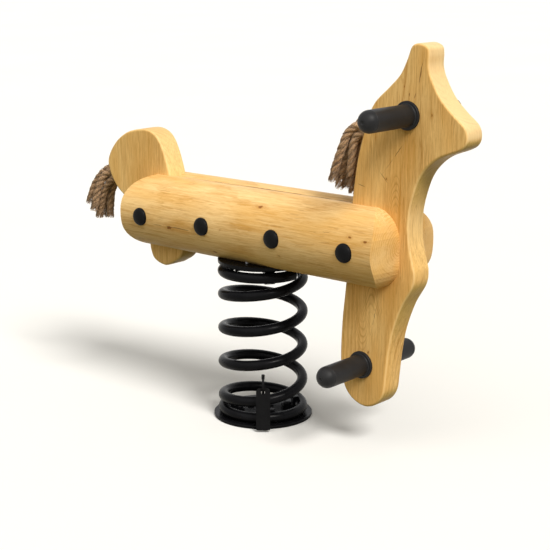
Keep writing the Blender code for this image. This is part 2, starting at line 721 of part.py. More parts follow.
def make_log(name, side):
    """One log, flat where it meets the other log and the two boards."""
    start = math.acos((GAP / 2 - LOG_OFFSET) / LOG_RADIUS)
    section = []
    for k in range(LOG_ARC_STEPS + 1):
        angle = -start + 2 * start * k / LOG_ARC_STEPS
        y = side * (LOG_OFFSET + LOG_RADIUS * math.cos(angle))
        section.append((y, LOG_HEIGHT + LOG_RADIUS * math.sin(angle)))
    ends = (LOG_REAR - SPARE, LOG_FRONT + SPARE)
    rings = [[Vector((x, y, z)) for y, z in section] for x in ends]
    obj = new_object(name, mesh_from(name, rings), WOOD, 0.6)
    boolean(obj, [log_end_mesh(side)], "INTERSECT")
    cuts = [slot_mesh(HEAD_BACK_SLOT, 1), slot_mesh(TAIL_FRONT_SLOT, -1)]
    seat_low = (0, 0, DISC_BOTTOM - SPARE)
    cuts.append(rod(DISC_RADIUS + DISC_RECESS_ROOM, seat_low, (0, 0, DISC_TOP + GAP), 64))
    for x, z in over_axis(BOLT_POSITIONS):
        place = Matrix.Translation((x, 0, z))
        place = place @ Matrix.Rotation(-side * math.pi / 2, 4, "X")
        profile = [
            (0.0, -LOG_OFFSET - SPARE),
            (BOLT_RADIUS + GAP, -LOG_OFFSET - SPARE),
            (BOLT_RADIUS + GAP, BOLT_SEAT),
            (COUNTERBORE_RADIUS, BOLT_SEAT),
            (COUNTERBORE_RADIUS, CAP_SEAT),
            (SPOT_RADIUS, CAP_SEAT),
            (SPOT_RADIUS, LOG_CREST + SPARE),
            (0.0, LOG_CREST + SPARE),
        ]
        cuts.append(turned("recess", profile, place, 28))
    for azimuth in SCREW_AZIMUTHS:
        base = polar(SCREW_CIRCLE, azimuth, DISC_BOTTOM)
        if base.y * side > 0:
            top = Vector((base.x, base.y, SCREW_TOP + EDGE))
            cuts.append(rod(SCREW_RADIUS + GAP, base, top, 16))
    boolean(obj, cuts)
    settle(obj, 30.0)


def board_mesh(name, outline):
    """Board pushed across the middle plane, with its outline edges rounded."""
    outline = over_axis(outline)
    count = len(outline)
    area = sum(
        outline[i][0] * outline[(i + 1) % count][1] - outline[(i + 1) % count][0] * outline[i][1]
        for i in range(count)
    )
    if area < 0:
        outline = list(reversed(outline))
    normals = []
    for i in range(count):
        before = Vector(outline[i - 1])
        here = Vector(outline[i])
        after = Vector(outline[(i + 1) % count])
        a = (here - before).normalized()
        b = (after - here).normalized()
        along = (a + b).normalized()
        spread = max(0.5, math.sqrt(max(0.0, (1 + a.dot(b)) / 2)))
        normals.append(Vector((along.y, -along.x)) / spread)
    half = BOARD_THICK / 2
    stations = []
    for degrees in (0, 45, 90):
        angle = math.radians(degrees)
        inset = BOARD_EDGE * (1 - math.sin(angle))
        stations.append((-half + BOARD_EDGE * (1 - math.cos(angle)), inset))
    stations += [(-y, inset) for y, inset in reversed(stations)]
    rings = []
    for y, inset in stations:
        ring = []
        for point, normal in zip(outline, normals):
            moved = Vector(point) - normal * inset
            ring.append(Vector((moved.x, y, moved.y)))
        rings.append(ring)
    return mesh_from(name, rings)


def head_outline():
    """Outline of the head board: smooth runs joined by one straight run in the slot."""
    run = [HEAD_BACK_SLOT[0], *HEAD_BACK_CURVE, *HEAD_FRONT_CURVE, HEAD_BACK_SLOT[1]]
    return [(p.x, p.y) for p in smooth_between([(x, z, 0.0) for x, z in run], 2)]


def tail_outline():
    """Outline of the tail board: one smooth run and the straight run in the slot."""
    run = [TAIL_FRONT_SLOT[1], *TAIL_TOP_CURVE, TAIL_FRONT_SLOT[0]]
    return [(p.x, p.y) for p in smooth_between([(x, z, 0.0) for x, z in run], 2)]


def cross_rod(radius, at):
    """Return a cutter straight across a board at a point over the logs' axis."""
    ((x, z),) = over_axis([at])
    reach = BOARD_THICK / 2 + SPARE
    return rod(radius, (x, -reach, z), (x, reach, z), 24)


def rope_bore(at, depth):
    """Return the cutter of a blind bore along the board, open toward the rear."""
    ((x, z),) = over_axis([at])
    return rod(ROPE_BORE_RADIUS, (x - ROPE_BORE_MOUTH, 0, z), (x + depth, 0, z), 28)


def make_boards():
    """The head board and the tail board with their bores."""
    board = new_object("head_board", board_mesh("head_board", head_outline()), WOOD, 0.6)
    cuts = [
        cross_rod(BAR_RADIUS + GAP, HANDLE_AT),
        cross_rod(BAR_RADIUS + GAP, FOOTREST_AT),
        cross_rod(BOLT_RADIUS + GAP, BOLT_POSITIONS[3]),
        rope_bore(MANE_BORE, MANE_BORE_DEPTH),
    ]
    boolean(board, cuts)
    settle(board, 30.0)
    board = new_object("tail_board", board_mesh("tail_board", tail_outline()), WOOD, 0.6)
    cuts = [
        cross_rod(BOLT_RADIUS + GAP, BOLT_POSITIONS[0]),
        rope_bore(TAIL_BORE, TAIL_BORE_DEPTH),
    ]
    boolean(board, cuts)
    settle(board, 30.0)


def six_sided(radius_flat, low, high, place):
    """Return a six-sided prism mesh with a given distance from centre to flat."""
    corner = radius_flat / math.cos(math.pi / 6)
    outline = [
        (corner * math.cos(math.pi * k / 3), corner * math.sin(math.pi * k / 3)) for k in range(6)
    ]
    return prism("six_sided", outline, low, high, place)


def make_cross_bolts():
    """Bolts across the logs, their flange nuts and the round caps over both ends."""
    for index, (x, z) in enumerate(over_axis(BOLT_POSITIONS), 1):
        seat = BOLT_SEAT + GAP
        place = Matrix.Translation((x, 0, z)) @ Matrix.Rotation(-math.pi / 2, 4, "X")
        tip = seat + NUT_HEIGHT + BOLT_PAST_NUT
        profile = [
            (0.0, -seat),
            (BOLT_RADIUS, -seat),
            (BOLT_RADIUS, tip - EDGE),
            (BOLT_RADIUS - EDGE, tip),
            (0.0, tip),
        ]
        name = f"cross_bolt_{index}"
        bolt = new_object(name, turned(name, profile, place, 20), ZINC, 0.4, 0.9)
        head = six_sided(BOLT_HEAD_RADIUS, -seat - BOLT_HEAD_HEIGHT, -seat + GAP / 3, place)
        boolean(bolt, [head], "UNION")
        settle(bolt)
        name = f"flange_nut_{index}"
        profile = [
            (BOLT_RADIUS + GAP, seat),
            (NUT_FLANGE_RADIUS, seat),
            (NUT_FLANGE_RADIUS, seat + NUT_FLANGE_THICK),
            (BOLT_HEAD_RADIUS, seat + 2 * NUT_FLANGE_THICK),
            (BOLT_HEAD_RADIUS, seat + NUT_HEIGHT),
            (BOLT_RADIUS + GAP, seat + NUT_HEIGHT),
        ]
        nut = new_object(name, turned(name, profile, place, 24), ZINC, 0.4, 0.9)
        settle(nut)
        for side, word in ((-1, "right"), (1, "left")):
            make_cap(f"bolt_cap_{word}_{index}", x, z, side)


def make_cap(name, x, z, side):
    """Round cap, hollow over the bolt end, with a stem that goes into the counterbore."""
    turn = -math.pi / 2 if side > 0 else math.pi / 2
    place = Matrix.Translation((x, side * (CAP_SEAT + GAP), z))
    place = place @ Matrix.Rotation(turn, 4, "X")
    top = CAP_DOME - CAP_WALL
    profile = [(0.0, top), (CAP_STEM_IN * 0.75, top * 0.72), (CAP_STEM_IN, 0.0)]
    profile += [(CAP_STEM_IN, -CAP_STEM_DEPTH), (CAP_STEM_OUT, -CAP_STEM_DEPTH), (CAP_STEM_OUT, 0.0)]
    profile += [(CAP_RADIUS - CAP_ROOM, 0.0), (CAP_RADIUS, CAP_RIM * 0.5)]
    for degrees in (0, 18, 36, 54, 72):
        angle = math.radians(degrees)
        rise = CAP_RIM + (CAP_DOME - CAP_RIM) * math.sin(angle)
        profile.append((CAP_RADIUS * math.cos(angle), rise))
    profile.append((0.0, CAP_DOME))
    cap = new_object(name, turned(name, profile, place, 24), PLASTIC, 0.4)
    settle(cap, 50.0)


def make_grip(name, at, side, reach):
    """Moulded grip with a flange against the board and a round end."""
    face = BOARD_THICK / 2 + GAP
    turn = -math.pi / 2 if side > 0 else math.pi / 2
    ((x, z),) = over_axis([at])
    place = Matrix.Translation((x, side * face, z)) @ Matrix.Rotation(turn, 4, "X")
    bore = BAR_RADIUS + GAP
    profile = [
        (0.0, GRIP_BORE_DEPTH),
        (bore, GRIP_BORE_DEPTH),
        (bore, 0.0),
        (GRIP_FLANGE_RADIUS - EDGE, 0.0),
        (GRIP_FLANGE_RADIUS, EDGE),
        (GRIP_FLANGE_RADIUS, GRIP_FLANGE_THICK - 2 * EDGE),
        (GRIP_FLANGE_RADIUS - EDGE, GRIP_FLANGE_THICK - EDGE / 2),
        (GRIP_FLANGE_RADIUS - 2 * EDGE, GRIP_FLANGE_THICK),
        (GRIP_RADIUS + GRIP_FILLET, GRIP_FLANGE_THICK),
        (GRIP_RADIUS, GRIP_FLANGE_THICK + GRIP_FILLET),
    ]
    centre = reach - face - GRIP_RADIUS + BOARD_THICK / 2
    for degrees in (0, 18, 36, 54, 72):
        angle = math.radians(degrees)
        profile.append((GRIP_RADIUS * math.cos(angle), centre + GRIP_RADIUS * math.sin(angle)))
    profile.append((0.0, centre + GRIP_RADIUS))
    grip = new_object(name, turned(name, profile, place, 28), PLASTIC, 0.55)
    settle(grip, 40.0)


def make_bar(name, at):
    """Round bar through the head board, its ends inside the grips."""
    half = BOARD_THICK / 2 + BAR_IN_GRIP
    profile = [
        (0.0, -half),
        (BAR_RADIUS - EDGE, -half),
        (BAR_RADIUS, -half + EDGE),
        (BAR_RADIUS, half - EDGE),
        (BAR_RADIUS - EDGE, half),
        (0.0, half),
    ]
    ((x, z),) = over_axis([at])
    place = Matrix.Translation((x, 0, z)) @ Matrix.Rotation(-math.pi / 2, 4, "X")
    bar = new_object(name, turned(name, profile, place, 24), ZINC, 0.35, 0.9)
    settle(bar)


def least_bend(points):
    """Return the smallest radius of the circle through three points that follow each other."""
    least = 1.0
    for a, b, c in zip(points, points[1:], points[2:]):
        area = (b - a).cross(c - a).length / 2
        if area > 1e-9:
            least = min(least, (b - a).length * (c - b).length * (c - a).length / (4 * area))
    return least


def make_rope(name, route, bore):
    """One rope as a plain tube along its route out of a bore."""
    ((bore_x, bore_z),) = over_axis([bore])
    fine = smooth_between([(bore_x + x, y, bore_z + z) for x, y, z in route], 8)
    points = evenly(fine, ROPE_STEP)
    curve = bpy.data.curves.new(name, "CURVE")
    curve.dimensions = "3D"
    curve.bevel_depth = ROPE_RADIUS
    curve.bevel_resolution = 2
    curve.use_fill_caps = True
    spline = curve.splines.new("POLY")
    spline.points.add(len(points) - 1)
    for slot, point in zip(spline.points, points):
        slot.co = (*point, 1.0)
    obj = bpy.data.objects.new(name, curve)
    bpy.context.collection.objects.link(obj)
    curve.materials.append(material(name + "_material", ROPE, 0.9))
    length = sum((b - a).length for a, b in zip(fine, fine[1:]))
    bend = least_bend(evenly(fine, 0.010))
    print(f"{name}: length {length:.4f} m, least bend radius {bend * 1000:.0f} mm")


def make_tie():
    """Cable tie: one closed band through the tag's hole and round the spring wire."""
    line = smooth_between([(r, z, 0.0) for r, z in by_the_coil(TIE_POINTS)], 2, closed=True)
    frame = facing(TAG_AZIMUTH)
    rings = []
    count = len(line)
    for i in range(count):
        along = (line[(i + 1) % count] - line[i - 1]).normalized()
        out = Vector((along.y, -along.x, 0.0)) * (TIE_THICK / 2)
        half = TIE_WIDTH / 2
        ring = []
        for sign_out, y in ((1, -half), (1, half), (-1, half), (-1, -half)):
            point = line[i] + out * sign_out
            ring.append(frame @ Vector((point.x, y, point.y)))
        rings.append(ring)
    tie = new_object("cable_tie", mesh_from("cable_tie", rings, loop=True), PLASTIC, 0.45)
    size = Vector(TIE_HEAD_SIZE) / 2
    ((radius, height),) = by_the_coil([TIE_HEAD_AT])
    outline = []
    for k in range(8):
        angle = math.pi * (k + 0.5) / 4
        outline.append((radius + size.x * math.cos(angle), size.y * math.sin(angle)))
    head = prism("head", outline, height - size.z, height + size.z, frame)
    boolean(tie, [head], "UNION")
    settle(tie)


def make_tag():
    """Blank hang tag with rounded corners and one hole."""
    half = TAG_WIDTH / 2
    outline = []
    corners = (
        (half, TAG_ABOVE_HOLE, 0.0),
        (-half, TAG_ABOVE_HOLE, 90.0),
        (-half, -TAG_BELOW_HOLE, 180.0),
        (half, -TAG_BELOW_HOLE, 270.0),
    )
    for x, z, first in corners:
        round_by = TAG_CORNER if z > 0 else TAG_FOOT_CORNER
        centre_x = x - math.copysign(round_by, x)
        centre_z = z - math.copysign(round_by, z)
        for step in range(5):
            angle = math.radians(first + step * 22.5)
            outline.append((
                centre_x + round_by * math.cos(angle),
                centre_z + round_by * math.sin(angle),
            ))
    ((radius, height),) = by_the_coil([TAG_HOLE_AT])
    hole = Matrix.Translation((radius, 0, height))
    tilt = Matrix.Rotation(-math.radians(TAG_TILT), 4, "Y")
    upright = Matrix(((0, 0, 1, 0), (1, 0, 0, 0), (0, 1, 0, 0), (0, 0, 0, 1)))
    place = facing(TAG_AZIMUTH) @ hole @ tilt @ upright
    mesh = prism("tag", outline, -TAG_THICK / 2, TAG_THICK / 2, Matrix.Identity(4))
    tag = new_object("tag", mesh, PLASTIC, 0.5)
    boolean(tag, [rod(TAG_HOLE_RADIUS, (0, 0, -SPARE), (0, 0, SPARE), 24)])
    settle(tag)
    tag.matrix_world = place


def main():
    """Build every piece."""
    clear_scene()
    make_base_plate()
    make_spring()
    base_ring = FIRST_TURN + RING_MIDDLE
    top_ring = LAST_TURN - RING_MIDDLE
    for index, azimuth in enumerate(BASE_CLAMP_AZIMUTHS, 1):
        make_clamp(f"base_clamp_{index}", azimuth, turn_at(azimuth, base_ring), PLATE_THICK, True)
    for index, azimuth in enumerate(TOP_CLAMP_AZIMUTHS, 1):
        make_clamp(f"top_clamp_{index}", azimuth, turn_at(azimuth, top_ring), DISC_BOTTOM, False)
    make_disc()
    make_log("left_log", 1)
    make_log("right_log", -1)
    make_boards()
    make_cross_bolts()
    make_bar("handle_bar", HANDLE_AT)
    make_grip("handle_grip_right", HANDLE_AT, -1, HANDLE_REACH_RIGHT)
    make_grip("handle_grip_left", HANDLE_AT, 1, HANDLE_REACH_LEFT)
    make_bar("footrest_bar", FOOTREST_AT)
    make_grip("footrest_grip_right", FOOTREST_AT, -1, FOOTREST_REACH_RIGHT)
    make_grip("footrest_grip_left", FOOTREST_AT, 1, FOOTREST_REACH_LEFT)
    for index, route in enumerate(MANE_ROUTES, 1):
        make_rope(f"mane_rope_{index}", route, MANE_BORE)
    for index, route in enumerate(TAIL_ROUTES, 1):
        make_rope(f"tail_rope_{index}", route, TAIL_BORE)
    make_tie()
    make_tag()


main()
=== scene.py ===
"""Looks of a wooden spring rider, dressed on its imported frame.

Metres, +Z up, +X the way the rider faces, +Y the rider's left. The origin is the centre of the
base plate's underside.
"""

from __future__ import annotations

import json
import logging
import math
import random
from dataclasses import dataclass, field
from enum import Enum
from functools import cache, reduce
from typing import Any, Callable, Sequence

import bpy
import numpy as np
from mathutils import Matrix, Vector

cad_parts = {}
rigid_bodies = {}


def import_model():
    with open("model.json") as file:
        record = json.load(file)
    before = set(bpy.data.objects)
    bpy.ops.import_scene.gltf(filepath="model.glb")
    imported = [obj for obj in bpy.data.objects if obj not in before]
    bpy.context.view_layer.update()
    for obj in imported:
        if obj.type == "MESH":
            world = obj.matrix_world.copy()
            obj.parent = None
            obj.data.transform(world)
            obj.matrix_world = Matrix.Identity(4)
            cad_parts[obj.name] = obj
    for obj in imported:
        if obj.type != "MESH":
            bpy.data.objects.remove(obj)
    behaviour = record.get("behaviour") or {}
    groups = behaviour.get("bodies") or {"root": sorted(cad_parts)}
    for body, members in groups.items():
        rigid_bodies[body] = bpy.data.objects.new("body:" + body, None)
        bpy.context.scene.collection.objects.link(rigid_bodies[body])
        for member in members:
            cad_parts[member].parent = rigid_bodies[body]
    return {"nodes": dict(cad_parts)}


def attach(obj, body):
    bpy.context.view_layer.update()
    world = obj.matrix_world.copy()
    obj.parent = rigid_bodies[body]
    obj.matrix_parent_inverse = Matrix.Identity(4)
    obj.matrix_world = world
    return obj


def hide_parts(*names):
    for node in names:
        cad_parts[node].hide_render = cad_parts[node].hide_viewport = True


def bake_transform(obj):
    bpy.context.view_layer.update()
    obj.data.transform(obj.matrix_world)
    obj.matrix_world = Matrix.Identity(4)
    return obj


LOG = logging.getLogger("spring_rider")
FULL_TURN = 2 * math.pi
Colour = tuple[float, float, float]
Point = tuple[float, float, float]
Pair = tuple[float, float]
Ends = tuple[bool, bool]
Piece = bpy.types.Object
Node = bpy.types.Node
Socket = bpy.types.NodeSocket
Tree = bpy.types.NodeTree
Sockets = dict[str, Any]
SMOOTH_DEGREES = 40.0  # edges sharper than this stay sharp on boards and floor
LOOSE_FROM = 10.0  # texture place of the first loose yarn; the strands stay below 1
NODES: dict[str, Piece] = {}  # the CAD's own pieces, by name


class Body(Enum):
    """The rigid bodies that new pieces ride on."""

    BASE = "base"
    TURN = "turn"
    SPRING = "spring"
    RIDER = "rider"


class Slot(Enum):
    """Names of the record's material slots."""

    SPRING = "spring_coat"
    BOARD = "board_wood"
    PLASTIC = "black_plastic"
    ROPE = "rope"


# Lines


def spline(p0: Any, p1: Any, p2: Any, p3: Any, t: float) -> Any:
    """Return the place at share t of the way from p1 to p2, on the smooth curve of all four."""
    bend = 2 * p0 - 5 * p1 + 4 * p2 - p3
    return (2 * p1 + (p2 - p0) * t + bend * t * t + (3 * p1 - p0 - 3 * p2 + p3) * t ** 3) / 2


def smooth_line(points: Sequence[Sequence[float]], steps: int) -> np.ndarray:
    """Return points on the smooth curve through the given ones.

    Args:
        points: The points that the curve goes through.
        steps: How many points each stretch gets.

    Returns:
        The curve's points, one a row.
    """
    rows = np.array(points, float)
    rows = np.vstack([2 * rows[0] - rows[1], rows, 2 * rows[-1] - rows[-2]])
    out = [spline(*rows[i:i + 4], k / steps) for i in range(len(rows) - 3) for k in range(steps)]
    return np.array([*out, rows[-2]])


def run_of(points: np.ndarray) -> np.ndarray:
    """Return each point's distance from the first one, along the line."""
    return np.r_[0, np.cumsum(np.linalg.norm(np.diff(points, axis=0), axis=1))]


def even_line(points: np.ndarray, step: float) -> np.ndarray:
    """Spread points evenly along a line.

    Args:
        points: The line's points.
        step: The distance between the new points, nearly.

    Returns:
        The new points, both ends kept.
    """
    along = run_of(points)
    wanted = np.linspace(0, along[-1], max(2, round(along[-1] / step)) + 1)
    return np.stack([np.interp(wanted, along, points[:, k]) for k in range(3)], axis=1)


def unit(rows: np.ndarray) -> np.ndarray:
    """Return the rows scaled to length one."""
    return rows / np.linalg.norm(rows, axis=1)[:, None]


def circle(count: int) -> np.ndarray:
    """Return as many even angles of a full turn."""
    return np.linspace(0, FULL_TURN, count, endpoint=False)


def line_frames(points: np.ndarray) -> tuple[np.ndarray, np.ndarray]:
    """Return two directions across a line that turn as little as possible along it.

    Args:
        points: The line's points.

    Returns:
        First and second cross directions, one a row.
    """
    tangents = unit(np.gradient(points, axis=0))
    start = np.cross(tangents[0], (0.0, 1.0, 0.0))
    firsts = [start / np.linalg.norm(start)]
    for tangent in tangents[1:]:
        moved = firsts[-1] - tangent * (firsts[-1] @ tangent)
        firsts.append(moved / np.linalg.norm(moved))
    return np.array(firsts), np.cross(tangents, firsts)


def arc(centre: Pair, radius: float, first: float, last: float, steps: int) -> list[Pair]:
    """Return profile points on an arc.

    Args:
        centre: The arc's centre, as (radius, along).
        radius: The arc's radius.
        first: First angle in degrees, from the direction away from the axis.
        last: Last angle in degrees.
        steps: How many steps it has.

    Returns:
        The points, both ends included.
    """
    angles = np.radians(np.linspace(first, last, steps + 1))
    return [(centre[0] + radius * math.cos(a), centre[1] + radius * math.sin(a)) for a in angles]


# Meshes


def put(name: str, data: Any) -> Piece:
    """Put a new object in the scene.

    Args:
        name: The object's name.
        data: Its mesh, lamp or camera.

    Returns:
        The new object.
    """
    obj = bpy.data.objects.new(name, data)
    bpy.context.scene.collection.objects.link(obj)
    return obj


@dataclass
class MeshParts:
    """Vertices, faces and face corners' texture places gathered for one mesh."""

    verts: list[Sequence[float]] = field(default_factory=list)
    faces: list[Sequence[int]] = field(default_factory=list)
    places: list[Sequence[Pair]] = field(default_factory=list)

    def face(self, corners: list[int], places: list[Pair], turn_back: bool) -> None:
        """Add one face, turned the other way if wanted."""
        self.faces.append(corners[::-1] if turn_back else corners)
        self.places.append(places[::-1] if turn_back else places)

    def rings(self, rows: Sequence[np.ndarray], caps: Ends = (True, True), turn_back: bool = False,
              span: float = 1.0, shift: float = 0.0) -> None:
        """Join rings of points by faces.

        Args:
            rows: Rings, all with as many points.
            caps: Whether the first and the last ring are closed by a face.
            turn_back: Whether faces are turned the other way.
            span: Texture length of the whole run.
            shift: Moves the texture place sideways.
        """
        first, count, last = len(self.verts), len(rows[0]), len(rows) - 1
        for row in rows:
            self.verts.extend(tuple(map(float, p)) for p in row)
        for r in range(last):
            v0, v1 = span * r / last, span * (r + 1) / last
            low, high = first + r * count, first + (r + 1) * count
            for k in range(count):
                j = (k + 1) % count
                u0, u1 = shift + k / count, shift + (k + 1) / count
                self.face([low + k, low + j, high + j, high + k],
                          [(u0, v0), (u1, v0), (u1, v1), (u0, v1)], turn_back)
        for wanted, r, v in ((caps[0], 0, 0.0), (caps[1], last, span)):
            if wanted:
                ring = [first + r * count + k for k in range(count)]
                self.face(ring, [(shift + 0.5, v)] * count, (r == 0) != turn_back)

    def build(self, name: str, smooth_degrees: float) -> Piece:
        """Make the object.

        Args:
            name: The piece's name.
            smooth_degrees: Edges sharper than this stay sharp.

        Returns:
            The new object, in the scene.
        """
        mesh = bpy.data.meshes.new(name)
        mesh.from_pydata(self.verts, [], self.faces)
        flat = [value for corner in self.places for pair in corner for value in pair]
        mesh.uv_layers.new(name="places").data.foreach_set("uv", flat)
        mesh.validate()
        mesh.update()
        mesh.shade_smooth()
        mesh.set_sharp_from_angle(angle=math.radians(smooth_degrees))
        return put(name, mesh)


def turned(name: str, profile: Sequence[Pair], seat: Point, segments: int,
           smooth_degrees: float) -> Piece:
    """Turn a profile round an axis that points away from the middle plane.

    Args:
        name: The piece's name.
        profile: Points as (radius, along), from one end to the other.
        seat: Where the axis starts.
        segments: How many flats go round.
        smooth_degrees: Edges sharper than this stay sharp.

    Returns:
        The new object.
    """
    turn = circle(segments)
    side = math.copysign(1.0, seat[1])
    rows = []
    for radius, along in profile:
        radius = max(radius, 1e-5)
        x, z = radius * np.cos(turn), -side * radius * np.sin(turn)
        rows.append(np.stack([x, np.full(segments, side * along), z], axis=1) + seat)
    parts = MeshParts()
    parts.rings(rows, turn_back=profile[-1][1] < profile[0][1])
    return parts.build(name, smooth_degrees)


# Nodes


class Nodes:
    """A node tree with short calls for adding and joining nodes."""

    def __init__(self, tree: Tree) -> None:
        """Keep the tree."""
        self.tree = tree

    def feed(self, node: Node, inputs: dict[Any, Any]) -> None:
        """Join links to a node's sockets, or set their values.

        Args:
            node: The node.
            inputs: Links or values, by socket name or number.
        """
        for key, value in inputs.items():
            socket = node.inputs[key]
            if isinstance(value, Socket):
                self.tree.links.new(value, socket)
            else:
                socket.default_value = (*value, 1.0) if socket.type == "RGBA" else value

    def add(self, kind: str, inputs: dict[Any, Any] | None = None, **settings: Any) -> Node:
        """Add a node.

        Args:
            kind: The node's type name.
            inputs: Socket values or links, by socket name or number.
            **settings: The node's own settings.

        Returns:
            The new node.
        """
        node = self.tree.nodes.new(kind)
        for key, value in settings.items():
            setattr(node, key, value)
        self.feed(node, inputs or {})
        return node

    def math(self, operation: str, a: Any, b: Any = 0.0, clamp: bool = False) -> Socket:
        """Return a maths node's output."""
        node = self.add("ShaderNodeMath", {0: a, 1: b}, operation=operation, use_clamp=clamp)
        return node.outputs[0]

    def times(self, *parts: Any) -> Socket:
        """Return the product of sockets and numbers."""
        return reduce(lambda a, b: self.math("MULTIPLY", a, b), parts)

    def plus(self, *parts: Any) -> Socket:
        """Return the sum of sockets and numbers."""
        return reduce(lambda a, b: self.math("ADD", a, b), parts)

    def vector(self, operation: str, a: Any, b: Any = (0.0, 0.0, 0.0)) -> Socket:
        """Return a vector maths node's output."""
        node = self.add("ShaderNodeVectorMath", {0: a, 1: b}, operation=operation)
        return node.outputs["Value" if operation == "LENGTH" else "Vector"]

    def moved(self, place: Any, sway: Any, amount: Any) -> Socket:
        """Return a place moved by a share of a sway."""
        return self.vector("ADD", place, self.vector("MULTIPLY", sway, amount))

    def split(self, vector: Socket) -> Any:
        """Return a vector's three parts."""
        return self.add("ShaderNodeSeparateXYZ", {0: vector}).outputs

    def coords(self, kind: str) -> Socket:
        """Return the piece's own coordinates of a kind."""
        return self.add("ShaderNodeTexCoord").outputs[kind]

    def use(self, tree: Tree, inputs: dict[str, Any]) -> Any:
        """Return the outputs of a group with its inputs fed."""
        return self.add("ShaderNodeGroup", inputs, node_tree=tree).outputs

    def noise(self, place: Any, scale: Point, detail: float = 2.0, rough: float = 0.5,
              output: str = "Fac") -> Socket:
        """Return a noise texture's output.

        Args:
            place: The vector that it is read at.
            scale: How much each axis is squeezed.
            detail: Detail of the noise.
            rough: Roughness of the noise.
            output: Name of the output.

        Returns:
            The noise's output socket.
        """
        place = self.vector("MULTIPLY", place, scale)
        inputs = {"Vector": place, "Scale": 1.0, "Detail": detail, "Roughness": rough}
        return self.add("ShaderNodeTexNoise", inputs).outputs[output]

    def sway(self, place: Any, scale: Point, detail: float) -> Socket:
        """Return noise in all three directions, with its middle at zero."""
        noise = self.noise(place, scale, detail, output="Color")
        return self.vector("SUBTRACT", noise, (0.5, 0.5, 0.5))

    def by_number(self, number: Socket, scale: float, detail: float) -> Socket:
        """Return a random value that is the same for all numbers with one whole part."""
        inputs = {"W": self.math("FLOOR", number), "Scale": scale, "Detail": detail}
        return self.add("ShaderNodeTexNoise", inputs, noise_dimensions="1D").outputs["Fac"]

    def remap(self, value: Any, low: float, high: float, to_low: float = 0.0, to_high: float = 1.0,
              kind: str = "LINEAR") -> Socket:
        """Stretch a value from one range to another.

        Args:
            value: The value.
            low: Start of its own range.
            high: End of its own range.
            to_low: Start of the new range.
            to_high: End of the new range.
            kind: How it goes from one end to the other.

        Returns:
            The new value, kept inside its range.
        """
        inputs = dict(zip(("Value", "From Min", "From Max", "To Min", "To Max"),
                          (value, low, high, to_low, to_high)))
        return self.add("ShaderNodeMapRange", inputs, interpolation_type=kind).outputs["Result"]

    def soft(self, value: Any, *ranges: float) -> Socket:
        """Return a value stretched from one range to another, with soft ends."""
        return self.remap(value, *ranges, kind="SMOOTHSTEP")

    def mix(self, share: Any, a: Any, b: Any) -> Socket:
        """Return a mix of two colours."""
        return self.add("ShaderNodeMix", {0: share, 6: a, 7: b}, data_type="RGBA").outputs[2]

    def bump(self, height: Socket, strength: float, distance: float) -> Socket:
        """Return the normal that a height gives."""
        inputs = {"Height": height, "Strength": strength, "Distance": distance}
        return self.add("ShaderNodeBump", inputs).outputs[0]

    def shown(self) -> Socket:
        """Tell which rays the eye can follow.

        Returns:
            1 for rays from the camera, off a mirror or through glass, and 0 for others.
        """
        path = self.add("ShaderNodeLightPath").outputs
        bent = self.math("MAXIMUM", path["Is Transmission Ray"], path["Is Glossy Ray"])
        return self.math("MAXIMUM", path["Is Camera Ray"], bent)


Fill = Callable[[Nodes, Any], Sockets]


def group(vectors: str, floats: str, colours: str = "") -> Callable[[Fill], Callable[[], Tree]]:
    """Turn a function that fills a tree into one that returns its shader node group.

    Args:
        vectors: Names of the vector inputs.
        floats: Names of the number inputs.
        colours: Names of the colour inputs.

    Returns:
        The decorator. The function it is put on gets the tree's nodes and the group's inputs, and
        returns its outputs by name.
    """

    def decorate(fill: Fill) -> Callable[[], Tree]:
        """Wrap one function.

        Args:
            fill: Puts the nodes in.

        Returns:
            The function that gives the group.
        """

        @cache
        def build() -> Tree:
            """Build the group, the first time it is asked for.

            Returns:
                The group.
            """
            tree = bpy.data.node_groups.new(fill.__name__, "ShaderNodeTree")
            add, nodes = tree.interface.new_socket, Nodes(tree)
            for kind, labels in (("Vector", vectors), ("Float", floats), ("Color", colours)):
                for label in labels.split():
                    add(label, in_out="INPUT", socket_type=f"NodeSocket{kind}")
            outputs = fill(nodes, nodes.add("NodeGroupInput").outputs)
            for label in outputs:
                kind = "Color" if label == "Colour" else "Float"
                add(label, in_out="OUTPUT", socket_type=f"NodeSocket{kind}")
            nodes.feed(nodes.add("NodeGroupOutput"), outputs)
            return tree

        return build

    return decorate


